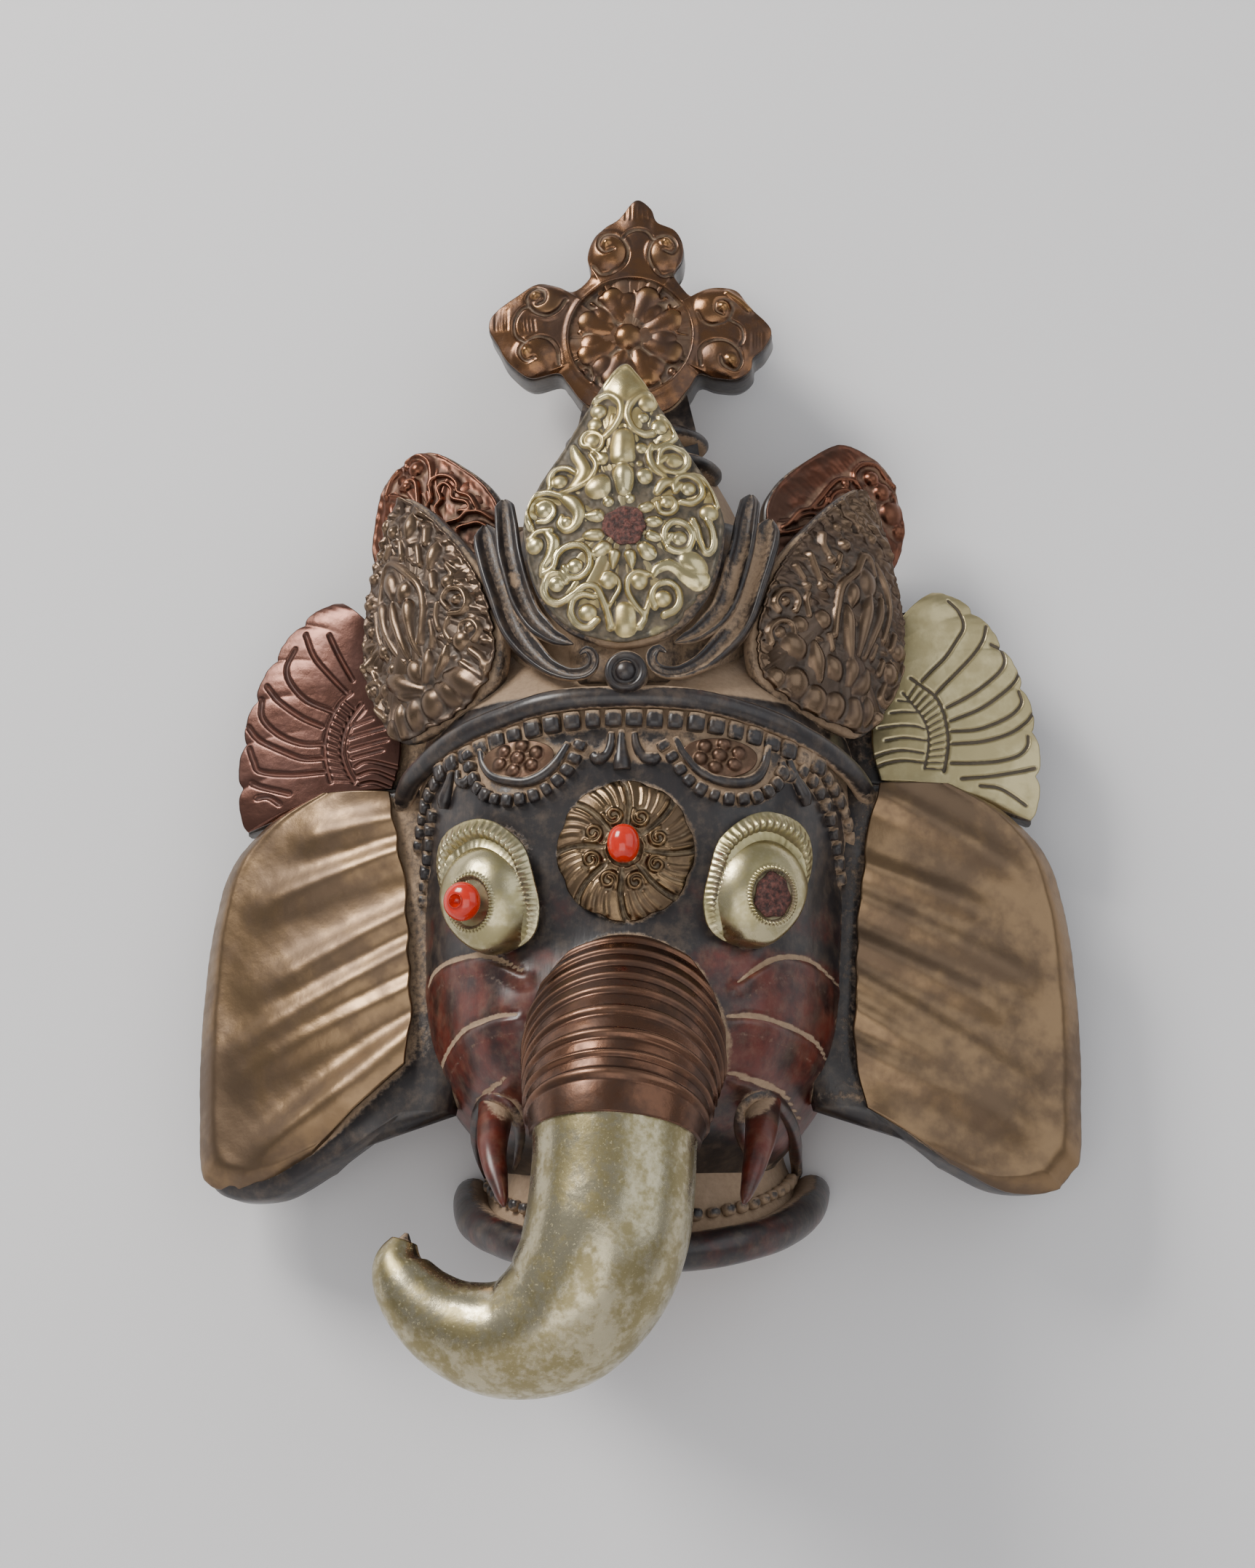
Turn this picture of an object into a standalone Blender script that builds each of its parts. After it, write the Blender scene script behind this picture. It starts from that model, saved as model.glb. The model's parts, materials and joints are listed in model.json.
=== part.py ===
"""Carved wooden elephant-head mask with beaten metal sheets, made to hang on a wall.

The flat back lies in the plane Y = 0 and the mask faces -Y.  The origin is the
hanging point on the back.  Free forms are drawn in shares of the mask's height,
as (x, depth from the wall, z); walls, gaps, beads and borders are real sizes.
"""
import math

import bmesh
import bpy
import numpy as np
from mathutils import Matrix, Vector

# Driving dimensions, in metres.
HEIGHT = 0.3117             # lowest point of the trunk's curl up to the finial's tip
SHEET_WALL = 0.0007         # beaten metal sheet
FIT_GAP = 0.0003            # left between a sheet and the wood under it
DRAPE_GAP = 0.0006          # the same over a curved face, where flat facets cut the arc
RIBBED_GAP = 0.0012         # and under the ribs of the ears and fans
TRUNK_GAP = 0.0016          # and over the trunk, which bends both ways
EDGE_WOOD = 0.0060          # wood behind the edge of a crown leaf
KEEL_WOOD = 0.0060          # and how much more there is behind its middle
EAR_WOOD = 0.0085           # wood behind an ear's sheet
FAN_WOOD = 0.0070           # wood behind a fan's sheet
FINIAL_WOOD = 0.0120        # wood behind the finial's sheet
BAND_RADIUS = 0.0034        # rolled band over the forehead
BEAD_PITCH = 0.0054         # square beads of the band
BEAD_HEIGHT = 0.0022
BEAD_ROOT = 0.0030          # how deep the beads stand in the head
COLLAR_ROLL = 0.0046        # radius of the collar's rolled rim
RIB_HEIGHT = 0.0034         # corrugations of the ears
FAN_RIB_HEIGHT = 0.0012
RING_HEIGHT = 0.0009        # rings of the trunk's copper sleeve
RING_COUNT = 9
CORAL_RADIUS = 0.0038       # bead on the forehead
CORAL_LENGTH = 0.0088
EYE_BEAD_RADIUS = 0.0046    # bead that is left of one pupil
EYE_BEAD_LENGTH = 0.0062
EYE_BEAD_BORE = 0.0014
SEAT_RADIUS = 0.0046        # lost stone's seat on the front leaf
PUPIL_RADIUS = 0.0044       # lost pupil's seat on the other eye
RESIDUE_WALL = 0.0007       # glue and dirt left in a seat

WALL_BLOCK = 2 * HEIGHT     # cutter that leaves the back flat
FACET_ANGLE = 1.5           # degrees; wood facets flatter than this to each other are one

SHARE = HEIGHT / 311.7      # one share of the height, about a millimetre

for old in list(bpy.data.objects):
    bpy.data.objects.remove(old, do_unlink=True)
pieces = bpy.data.collections.new("elephant_mask")
makers = bpy.data.collections.new("makers")
cutters = bpy.data.collections.new("cutters")
bpy.context.scene.collection.children.link(pieces)
bpy.context.scene.collection.children.link(makers)
bpy.context.scene.collection.children.link(cutters)


def material(name, colour, metallic, roughness):
    made = bpy.data.materials.new(name)
    made.use_nodes = True
    shader = made.node_tree.nodes["Principled BSDF"]
    shader.inputs["Base Color"].default_value = (*colour, 1.0)
    shader.inputs["Metallic"].default_value = metallic
    shader.inputs["Roughness"].default_value = roughness
    return made


WOOD = material("lacquered_wood", (0.045, 0.016, 0.012), 0.0, 0.35)
COPPER = material("copper_sheet", (0.42, 0.16, 0.08), 1.0, 0.35)
DARK_COPPER = material("brown_copper_sheet", (0.20, 0.075, 0.05), 1.0, 0.32)
BRONZE = material("bronze_sheet", (0.17, 0.11, 0.07), 1.0, 0.42)
BRASS = material("brass_sheet", (0.34, 0.22, 0.10), 1.0, 0.36)
WHITE_METAL = material("white_metal_sheet", (0.56, 0.53, 0.40), 1.0, 0.36)
CORAL = material("coral", (0.70, 0.045, 0.015), 0.0, 0.25)
RESIDUE = material("seat_residue", (0.10, 0.035, 0.025), 0.0, 0.9)


# Points and curves

def at(x, depth, z):
    """A point of the mask from its shares of the height."""
    return Vector((x, -depth, z)) * SHARE


class Plane:
    """A turned drawing plane: u to the right, v up, h out towards the viewer."""

    def __init__(self, x, depth, z, yaw=0.0, pitch=0.0):
        turn, lean = math.radians(yaw), math.radians(pitch)
        self.origin = at(x, depth, z)
        self.out = Vector((math.sin(turn) * math.cos(lean),
                           -math.cos(turn) * math.cos(lean), math.sin(lean)))
        self.right = Vector((math.cos(turn), math.sin(turn), 0.0))
        self.up = self.out.cross(self.right)

    def point(self, u, v, h=0.0, lift=0.0):
        """u, v and h are shares, lift is metres."""
        flat = self.right * u + self.up * v + self.out * h
        return self.origin + flat * SHARE + self.out * lift


def run_through(keys, count, closed=False):
    """Evenly spread points on a Catmull-Rom curve through the keys."""
    keys = np.array(keys, float)
    if closed:
        keys = np.vstack([keys[-1:], keys, keys[:2]])
    else:
        keys = np.vstack([2 * keys[0] - keys[1], keys, 2 * keys[-1] - keys[-2]])
    fine = []
    for k in range(1, len(keys) - 2):
        a, b, c, d = keys[k - 1:k + 3]
        for t in np.linspace(0.0, 1.0, 24, endpoint=False):
            fine.append(0.5 * (2 * b + (c - a) * t + (2 * a - 5 * b + 4 * c - d) * t * t
                               + (3 * b - a - 3 * c + d) * t ** 3))
    fine.append(keys[-2])
    fine = np.array(fine)
    reach = np.concatenate([[0.0], np.cumsum(np.linalg.norm(np.diff(fine, axis=0), axis=1))])
    wanted = np.linspace(0.0, reach[-1], count, endpoint=not closed)
    return np.stack([np.interp(wanted, reach, fine[:, i]) for i in range(keys.shape[1])], axis=1)


def between(keys, value):
    """The other columns of a table at one value of its first column, eased between the keys."""
    table = np.array(keys, float)
    order = np.argsort(table[:, 0])
    table = table[order]
    value = min(max(value, table[0, 0]), table[-1, 0])
    k = min(int(np.searchsorted(table[:, 0], value, side="right")) - 1, len(table) - 2)
    low, high = table[k], table[k + 1]
    before = table[max(k - 1, 0)]
    after = table[min(k + 2, len(table) - 1)]
    t = (value - low[0]) / (high[0] - low[0])
    step = high[0] - low[0]
    slope_low = (high - before) / (high[0] - before[0]) * step
    slope_high = (after - low) / (after[0] - low[0]) * step
    eased = ((2 * t ** 3 - 3 * t * t + 1) * low + (t ** 3 - 2 * t * t + t) * slope_low
             + (3 * t * t - 2 * t ** 3) * high + (t ** 3 - t * t) * slope_high)
    return eased[1:]


def bump(x, z, centre_x, centre_z, width, height):
    return math.exp(-((x - centre_x) / width) ** 2 - ((z - centre_z) / height) ** 2)


# Meshes

def show(name, mesh, finish, group=pieces):
    piece = bpy.data.objects.new(name, mesh)
    group.objects.link(piece)
    if finish is not None:
        mesh.materials.append(finish)
    if group is makers:
        piece.hide_render = True
        piece.display_type = "WIRE"
    return piece


def move_to(group, piece):
    for old in list(piece.users_collection):
        old.objects.unlink(piece)
    group.objects.link(piece)


def mesh_from(name, build):
    """A mesh whose faces are made by build(bm) and turned outwards."""
    bm = bmesh.new()
    build(bm)
    bmesh.ops.recalc_face_normals(bm, faces=bm.faces[:])
    mesh = bpy.data.meshes.new(name)
    bm.to_mesh(mesh)
    bm.free()
    mesh.shade_smooth()
    mesh.set_sharp_from_angle(angle=math.radians(40))
    return mesh


def skin(bm, rows, closed):
    """Triangles between rows of points, all cut along the same diagonal; rows may close."""
    made = [[bm.verts.new(p) for p in row] for row in rows]
    count = len(rows[0])
    for low, high in zip(made, made[1:]):
        for j in range(count if closed else count - 1):
            k = (j + 1) % count
            bm.faces.new((low[j], low[k], high[k]))
            bm.faces.new((low[j], high[k], high[j]))
    return made


def loft(name, loops):
    """A closed body through loops of points, with both ends filled."""
    def build(bm):
        made = skin(bm, loops, True)
        bm.faces.new(made[0])
        bm.faces.new(made[-1])
    return mesh_from(name, build)


def dome(name, middle, rings, closing=None):
    """A round surface from its middle point out through rings; closing ends a closed body."""
    def build(bm):
        made = skin(bm, rings, True)
        hub = bm.verts.new(middle)
        count = len(rings[0])
        for j in range(count):
            bm.faces.new((hub, made[0][j], made[0][(j + 1) % count]))
        if closing is not None:
            foot = bm.verts.new(closing)
            for j in range(count):
                bm.faces.new((foot, made[-1][(j + 1) % count], made[-1][j]))
    return mesh_from(name, build)


def grid(name, rows):
    def build(bm):
        skin(bm, rows, False)
    return mesh_from(name, build)


def face_the_viewer(piece, out):
    """Turns an open surface so that its normals point along out."""
    mesh = piece.data
    total = Vector((0.0, 0.0, 0.0))
    for polygon in mesh.polygons:
        total += polygon.normal * polygon.area
    if total.dot(out) < 0:
        mesh.flip_normals()


def sheet(name, mesh, finish, out):
    """Beaten sheet: the open surface is its outer face, and the wall lies under it."""
    piece = show(name, mesh, finish)
    face_the_viewer(piece, out)
    wall = piece.modifiers.new("wall", "SOLIDIFY")
    wall.thickness = SHEET_WALL
    wall.offset = -1.0
    wall.use_even_offset = True
    return piece


def tube_frames(path, facing=Vector((0.0, -1.0, 0.0))):
    """Point, side and front of each station of a path, with the front kept towards facing."""
    points = [Vector(p) for p in path]
    frames = []
    for k, point in enumerate(points):
        ahead = points[min(k + 1, len(points) - 1)] - points[max(k - 1, 0)]
        ahead.normalize()
        front = facing - ahead * facing.dot(ahead)
        front.normalize()
        frames.append((point, ahead.cross(front), front))
    return frames


def ring_of(frame, radius, turns):
    point, side, front = frame
    return [point + (front * math.cos(t) + side * math.sin(t)) * radius for t in turns]


def full_turn(count):
    return [2 * math.pi * k / count for k in range(count)]


def roll(name, path, radii, count=8):
    """A carved round moulding along a path."""
    frames = tube_frames(path)
    turns = full_turn(count)
    return loft(name, [ring_of(f, r, turns) for f, r in zip(frames, radii)])


# The head, drawn as the depth of its face over the wall

HEAD = [  # z, half width, reach, fullness
    (-121, 30, 44, 2.3), (-113, 38, 60, 2.4), (-102, 46.5, 68, 2.6), (-88, 52.8, 71, 2.6),
    (-70, 54.5, 72, 2.6), (-50, 55, 73, 2.6), (-30, 56, 74.5, 2.7), (-14, 54, 74, 2.7),
    (-6, 51, 69, 2.7), (4, 46, 60, 2.7), (16, 41, 53, 2.7), (34, 34, 46, 2.6),
    (52, 25, 37, 2.4), (70, 16, 25, 2.3), (78, 11, 21, 2.2)]
CHEEK = (33, -93, 16, 17, 6.5)      # x, z, spread across, spread up, rise
BROW = (31, -38, 14, 7, 1.5)
SNOUT = (0, -84, 17, 15, 5.0)
SOCKET = (31, -60, 16, 17, 3.0)
JAW = (-74, -96)        # z where the jaw's sides start to draw in, and where they are all in
JAW_TUCK, JAW_REACH = 0.22, 36      # how much narrower it is at the wall, and how far out of it that runs
HEAD_ROWS = 18
HEAD_COLUMNS = 16


def face_depth(x, z):
    """Depth of the head's face at x and z, in shares."""
    half, reach, fullness = between(HEAD, z)
    across = min(abs(x) / half, 1.0)
    depth = reach * (1 - across ** fullness) ** (1 / fullness)
    rise = 0.0
    for centre_x, centre_z, width, height, amount in (CHEEK, BROW, SNOUT, SOCKET):
        rise += amount * bump(abs(x), z, centre_x, centre_z, width, height)
    return depth + rise * (1 - across ** 6)


def drawn_in_jaw(x, depth, z):
    """The jaw's sides draw in towards the wall."""
    low = min(max((JAW[0] - z) / (JAW[0] - JAW[1]), 0.0), 1.0)
    return x * (1 - JAW_TUCK * low * max(0.0, 1 - depth / JAW_REACH) ** 2)


def head_mesh():
    loops = []
    for row in range(HEAD_ROWS + 1):
        z = HEAD[0][0] + (HEAD[-1][0] - HEAD[0][0]) * row / HEAD_ROWS
        half, _, fullness = between(HEAD, z)
        loop = []
        for column in range(HEAD_COLUMNS + 1):
            turn = math.pi * (column / HEAD_COLUMNS - 0.5)
            x = half * math.copysign(abs(math.sin(turn)) ** (2 / fullness), math.sin(turn))
            depth = face_depth(x, z)
            loop.append(at(drawn_in_jaw(x, depth, z), depth, z))
        loops.append(loop)
    return loft("head", loops)


# Trunk

TRUNK = [  # x, depth, z, radius
    (0.5, 40, -80, 25.5), (0.3, 60, -90, 24.5), (-0.4, 75, -103, 22.6), (-1.0, 81.5, -114, 20.8),
    (-1.4, 83.5, -121, 19.3), (-1.9, 84, -131, 19.3), (-3.3, 84.5, -142, 19.4), (-7, 84, -152.3, 18.7),
    (-15, 82, -161.2, 17.1), (-26.5, 80, -165, 14.2), (-38, 79, -162.3, 11.6), (-46.5, 78.5, -156, 9.4),
    (-51, 78, -148, 7.0), (-49.5, 78, -140.5, 2.4)]
TRUNK_STATIONS = 17
TRUNK_SIDES = 12
COPPER_SPAN = (0.1708, 0.388)        # parts of the trunk's length that each sleeve wraps
SILVER_SPAN = (0.398, 0.985)
SLEEVE_REACH = math.radians(108)    # how far round the trunk the sleeves go, each way
SLEEVE_NARROWEST = math.radians(24)     # the arched top of the upper one starts this wide
SLEEVE_WIDENING = math.radians(16)      # and widens this much a row, on each side
COPPER_COLUMNS = 8
SILVER_COLUMNS = 8
SILVER_STEPS = 11
SLEEVE_RELIEF = 5.0                 # a sleeve's edge stops this far out of the face


def trunk_core():
    stations = run_through(TRUNK, TRUNK_STATIONS)
    frames = tube_frames([at(*s[:3]) for s in stations])
    turns = full_turn(TRUNK_SIDES)
    cover = SHEET_WALL + TRUNK_GAP
    return loft("trunk_core", [ring_of(f, s[3] * SHARE - cover, turns)
                               for f, s in zip(frames, stations)])


def clear_of_face(frame, radius):
    """How far round the trunk its surface stands out of the face, on each side."""
    limits = []
    for way in (-1, 1):
        turn = 0.0
        while turn < SLEEVE_REACH:
            point = ring_of(frame, radius, [way * turn])[0] / SHARE
            if -point.y < face_depth(point.x, point.z) + SLEEVE_RELIEF and point.z > HEAD[0][0]:
                break
            turn += math.radians(1)
        limits.append(way * turn)
    return limits


def trunk_sleeve(name, span, finish, steps, columns, rise):
    """A wrapped sheet over the trunk, with every second row raised into a ring."""
    fine = run_through(TRUNK, 241)
    frames = tube_frames([at(*s[:3]) for s in fine])
    rows = []
    for step in range(steps + 1):
        k = round(240 * (span[0] + (span[1] - span[0]) * step / steps))
        radius = fine[k][3] * SHARE
        left, right = clear_of_face(frames[k], radius - SHEET_WALL)
        if right - left < SLEEVE_NARROWEST:
            continue
        if rows:
            left, right = max(left, last[0] - SLEEVE_WIDENING), min(right, last[1] + SLEEVE_WIDENING)
        last = (left, right)
        if step % 2:
            radius += rise
        rows.append(ring_of(frames[k], radius, np.linspace(left, right, columns + 1)))
    return sheet(name, grid(name, rows), finish, Vector((0.0, -1.0, 0.0)))


# Tusks, neck and collar

TUSK_ROOT, TUSK_MIDDLE, TUSK_TIP = (31.5, 52, -106), (30.8, 67.5, -119.5), (27.5, 75, -134)
TUSK_RADII = (4.8, 4.3, 3.6, 2.6, 1.1)
NECK = [  # z at the wall, fall to the front, half width, reach
    (-98, 0.10, 39, 46), (-107, 0.25, 34.5, 44), (-114.5, 0.38, 36.5, 46), (-119.5, 0.45, 40.5, 50)]
COLLAR_FALL = 0.45
COLLAR_REACH = (41.5, 51)
COLLAR_Z = -118.5


def tusk(side):
    keys = [(side * x, depth, z) for x, depth, z in (TUSK_ROOT, TUSK_MIDDLE, TUSK_TIP)]
    path = run_through(keys, len(TUSK_RADII))
    return roll("tusk", [at(*p) for p in path], [r * SHARE for r in TUSK_RADII], 7)


def half_round(z, fall, half, reach, count=10, fullness=2.3):
    loop = []
    for k in range(count + 1):
        turn = math.pi * (k / count - 0.5)
        x = half * math.copysign(abs(math.sin(turn)) ** (2 / fullness), math.sin(turn))
        depth = reach * abs(math.cos(turn)) ** (2 / fullness)
        loop.append(at(x, depth, z - fall * depth))
    return loop


def neck():
    return loft("neck", [half_round(*key) for key in NECK])


def collar():
    path = half_round(COLLAR_Z, COLLAR_FALL, *COLLAR_REACH, count=14)
    return roll("collar", path, [COLLAR_ROLL] * len(path), 6)


# The band over the forehead

BAND = [(0, 77, -12.6), (18, 75.5, -13.6), (36, 66, -17.0), (49, 52.5, -21.5), (55.5, 40, -26),
        (57.5, 28, -33), (56.5, 12, -42)]


def band_path(count, drop=0.0, lift=0.0):
    """Points along the band from the viewer's left to the right, in shares."""
    keys = [(-x, depth, z) for x, depth, z in BAND[:0:-1]] + [tuple(k) for k in BAND]
    return [(x, depth + lift, z - drop) for x, depth, z in run_through(keys, count)]


def band():
    path = [at(*p) for p in band_path(19)]
    return roll("band", path, [BAND_RADIUS] * len(path), 6)


def band_beads():
    """A toothed moulding under the band: one tooth is one square bead."""
    drop = 5.6
    line = band_path(400, drop, -2.0)[60:-60]
    length = sum((at(*a) - at(*b)).length for a, b in zip(line, line[1:]))
    beads = int(length / BEAD_PITCH)
    rows = []
    spots = run_through(line[::12] + [line[-1]], 2 * beads + 1)
    points = [at(*s) for s in spots]
    for k, (point, side, front) in enumerate(tube_frames(points)):
        tall = BEAD_HEIGHT if k % 2 else 0.0
        half = 0.40 * BEAD_PITCH
        rows.append([point + side * half - front * BEAD_ROOT, point + front * tall,
                     point - side * half - front * BEAD_ROOT])
    return loft("band_beads", rows)


# Crown leaves, fans, ears and finial

FRONT_LEAF = Plane(0, 79, 28, 0, 5)
FRONT_HALF = [(0, 44.5), (4.2, 40), (9, 32), (14.5, 22), (20.5, 12), (23.8, 4), (23.7, -3),
              (21.3, -13), (17, -20.5), (10, -26), (0, -28.5)]
SIDE_LEAF = (51, 54, 16, 40, 0)
SIDE_OUTLINE = [(11, 31.5), (15.8, 24), (20, 12), (22.5, -2), (20.5, -15), (11, -30), (0, -30),
                (-12, -27.5), (-21.5, -21.5), (-23.5, -11), (-19.5, 2), (-12, 13), (-2, 23.5),
                (6, 30)]
REAR_LEAF = (48.5, 32.5, 45, 25, 0)
REAR_OUTLINE = [(20, 8), (17, 15), (11, 19), (4, 20.5), (-5, 15), (-12.5, 8), (-16, 0),
                (-14, -14), (0, -21), (14, -16), (21, -5)]
EAR = (55, 40, -25, 19, 0)
EAR_ROOT = [(5, 0), (1.5, -14), (-1, -32), (-2, -50), (-2.5, -66), (1, -80)]
EAR_MARGIN = [(24, 1), (38, -5), (49, -15.5), (54.3, -33), (56.3, -52), (56.5, -74), (54, -94),
              (38, -98.5), (22, -92.5)]
EAR_RIBS = 6
FAN = (58, 26, -22, 10, 0)
FAN_ROOT = [(2, 1), (0, 10), (1, 24), (6, 40)]
FAN_MARGIN = [(40.5, -8.5), (42, 4), (40.5, 19), (35, 33.5), (26, 45.5), (16.5, 50.5)]
FAN_RIBS = 6
FINIAL = Plane(-1.2, 27.5, 95)
FINIAL_OUTLINE = [(1.4, 37.2), (5.2, 34.8), (6.8, 31.2), (11.2, 29), (13.3, 25), (13, 20.5), (11, 17), (12.8, 13.6),
                  (15.5, 10.8), (18.5, 12.4), (22.5, 13), (27, 11.9), (30, 7.8), (35.5, 1.6), (34, -3.2),
                  (31, -6), (30.4, -9.2), (27, -11.6), (21.5, -11.2), (17.3, -10), (14.6, -14), (9.4, -19.4),
                  (0, -21), (-10.8, -17.8), (-16, -11.6), (-18.5, -9), (-25.5, -10.2), (-30.8, -6.2),
                  (-33.6, -1.4), (-36, 3.4), (-34.6, 7.4), (-29, 11.8), (-23.8, 15), (-18.6, 14.2), (-14.4, 12.8),
                  (-10.2, 16.8), (-11, 21.8), (-9.4, 26.8), (-6.4, 30), (-3, 32.2)]
FINIAL_COUNT = 36
FINIAL_RINGS = (3.0, 8.0, 14.4, 16.2)       # radii of the medallion's rings of points
MEDALLION = 18.0
RING_INNER, RING_OUTER, RING_RISE = 14.6, 17.4, 1.8
BOSS_RADIUS, BOSS_RISE = 3.0, 1.6
FINIAL_PETALS, PETAL_RISE, PETAL_GROUND = 8, 1.3, 0.3
FINIAL_GROUND = 0.5
VOLUTES = [(7.6, 24.4, 5), (22.8, 7.2, 5), (23.6, -7.2, 5), (0, 33, 4), (32, 0, 4)]  # u, v, size
VOLUTE_RISE = 2.2


LEAF_DOME = 3.0         # how much higher a leaf is in its middle than at its edge
LEAF_TAPER = 0.95       # a leaf's back is this much smaller than its front
LEAF_BORDER = 1.0       # raised border
LEAF_SEAT = (0.4, 0.5)  # the lost stone's seat
LEAF_SEAT_RISE = 0.2
LEAF_DROPS = 10         # drops round the seat
DROP_RISE = 0.7
BUD_FLUTES = 9
FLUTE_RISE = 0.9
BUD_FOOT = -24          # where the flutes of a side leaf come together
CLOUD_LOBES = 5
CLOUD_RISE = 0.8
RIB_WOOD_EDGE = 0.97    # the sheet's margin laps over the edge of its wood
RIB_SHOULDER = 0.88     # where the ribs run out into the bent margin
RIB_FADE = 0.7          # how much lower a rib is at its outer end
EAR_SPAN = 55           # width of the ear across its middle
EAR_BEND = 3.4          # how far its outer margin bends back
EAR_TUCK = 11           # how far an ear's wood runs on under the head
FAN_TUCK = 12
FAN_BOW = 0.06
PLATE_CUP = 2.0         # ears and fans are this much fuller in the middle


def mirrored(plane, side):
    x, depth, z, yaw, pitch = plane
    return Plane(side * x, depth, z, side * yaw, pitch)


def whole(half):
    """A closed outline from its right half, top to bottom."""
    return half + [(-u, v) for u, v in half[-2:0:-1]]


def leaf_loops(outline, centre, shrink, count):
    """Rings of the outline drawn in towards its centre."""
    edge = run_through(outline, count, closed=True)
    middle = np.array(centre, float)
    return [[tuple(middle + (p - middle) * s) for p in edge] for s in shrink]


def leaf(name, plane, outline, centre, height, finish, mirror, count, shrink):
    """A beaten leaf and its carved wood backing, which is deeper along its keel."""
    def ring(s, wide, rise, lift):
        return [plane.point(mirror * u, v, rise(u, v, s), lift)
                for u, v in leaf_loops(outline, centre, (s * wide,), count)[0]]

    def hub(rise, lift):
        return plane.point(mirror * centre[0], centre[1], rise(*centre, 0.0), lift)

    rings = [ring(s, 1.0, height, 0.0) for s in shrink]
    sheet(name, dome(name, hub(height, 0.0), rings), finish, plane.out)
    under = -SHEET_WALL - DRAPE_GAP
    wood = [ring(1.0, 1.0, carved_rise, under), ring(1.0, LEAF_TAPER, leaf_edge, -EDGE_WOOD)]
    body = dome(name + "_wood", hub(carved_rise, under), wood, hub(leaf_edge, -EDGE_WOOD - KEEL_WOOD))
    show(name + "_wood", body, WOOD, makers)


def carved_rise(u, v, s):
    """The carved wood's dome, highest in the middle."""
    return -LEAF_DOME * s * s


def leaf_edge(u, v, s):
    return -LEAF_DOME


def leaf_relief(u, v, s):
    """Dome, raised border and a ring of drops round the seat."""
    border = LEAF_BORDER * math.exp(-((s - 0.86) / 0.1) ** 2)
    drops = DROP_RISE * math.exp(-((s - 0.42) / 0.1) ** 2) * (1 + math.cos(LEAF_DROPS * math.atan2(v, u)))
    return carved_rise(u, v, s) + border + drops


def bud_relief(u, v, s):
    """Fluted bud that opens upwards from the foot of a side leaf."""
    turn = math.atan2(v - BUD_FOOT, u)
    flutes = FLUTE_RISE * (1 + math.cos(BUD_FLUTES * turn)) * math.exp(-((s - 0.55) / 0.33) ** 2)
    return carved_rise(u, v, s) + flutes


def cloud_relief(u, v, s):
    """Cloud ridges of a rear leaf."""
    ridge = CLOUD_RISE * math.exp(-((s - 0.62) / 0.16) ** 2)
    return carved_rise(u, v, s) + ridge * (1.2 + math.cos(CLOUD_LOBES * math.atan2(v, u)))


def ribbed(name, plane, root, margin, ribs, rise, crown, finish, mirror, depth, reach, bow, wood_step):
    """A corrugated sheet that fans out from its root, and the wood that backs it."""
    rows = 2 * ribs + 1
    inner = run_through(root, rows)
    outer = run_through(margin, rows)

    def place(i, t, lift, ridge):
        u, v = inner[i] * (1 - t) + outer[i] * t
        across = outer[i] - inner[i]
        u += -across[1] * bow * 4 * t * (1 - t)
        v += across[0] * bow * 4 * t * (1 - t)
        fold = (rise / SHARE) * (i % 2) * ridge * (1 - RIB_FADE * t ** 1.5) * (t < 1.0)
        return plane.point(mirror * u, v, crown(t, math.hypot(*across)) + fold, lift)

    marks = (0.0, 0.34, RIB_SHOULDER, 1.0)
    face = [[place(i, t, 0.0, 1.0) for t in marks] for i in range(rows)]
    sheet(name, grid(name, face), finish, plane.out)
    loops = []
    under = -SHEET_WALL - RIBBED_GAP
    inward = plane.right * (-mirror * reach * SHARE)
    wood_marks = marks[:-1] + (RIB_WOOD_EDGE,)
    for i in range(0, rows, wood_step):
        top = [place(i, t, under, 0.0) for t in wood_marks]
        low = [place(i, t, -depth, 0.0) for t in wood_marks]
        loops.append([top[0] + inward] + top + low[::-1] + [low[0] + inward])
    show(name + "_wood", loft(name + "_wood", loops), WOOD, makers)


def ear_crown(t, span):
    """The ear lies flat and its outer margin bends back to the wall."""
    bend = max(0.0, (t - RIB_SHOULDER) / (1 - RIB_SHOULDER))
    return fan_crown(t, span) - EAR_BEND * bend * min(1.0, span / EAR_SPAN) ** 2


def fan_crown(t, span):
    return PLATE_CUP * (1 - (2 * t - 1) ** 2)


def finial_relief(u, v, s, radius):
    """Medallion with its petals and ring, and the volutes of the three arms."""
    if radius > MEDALLION:
        swell = 0.0
        for x, z, size in VOLUTES:
            swell += VOLUTE_RISE * math.exp(-((abs(u) - x) ** 2 + (v - z) ** 2) / size ** 2)
        return FINIAL_GROUND + swell * (1 - s ** 8)
    if radius > RING_INNER:
        return RING_RISE if radius < RING_OUTER else FINIAL_GROUND
    if radius < BOSS_RADIUS:
        return BOSS_RISE
    petal = 0.5 + 0.5 * math.cos(FINIAL_PETALS * math.atan2(v, u))
    return PETAL_GROUND + PETAL_RISE * petal * math.sin(math.pi * radius / RING_INNER)


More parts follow.
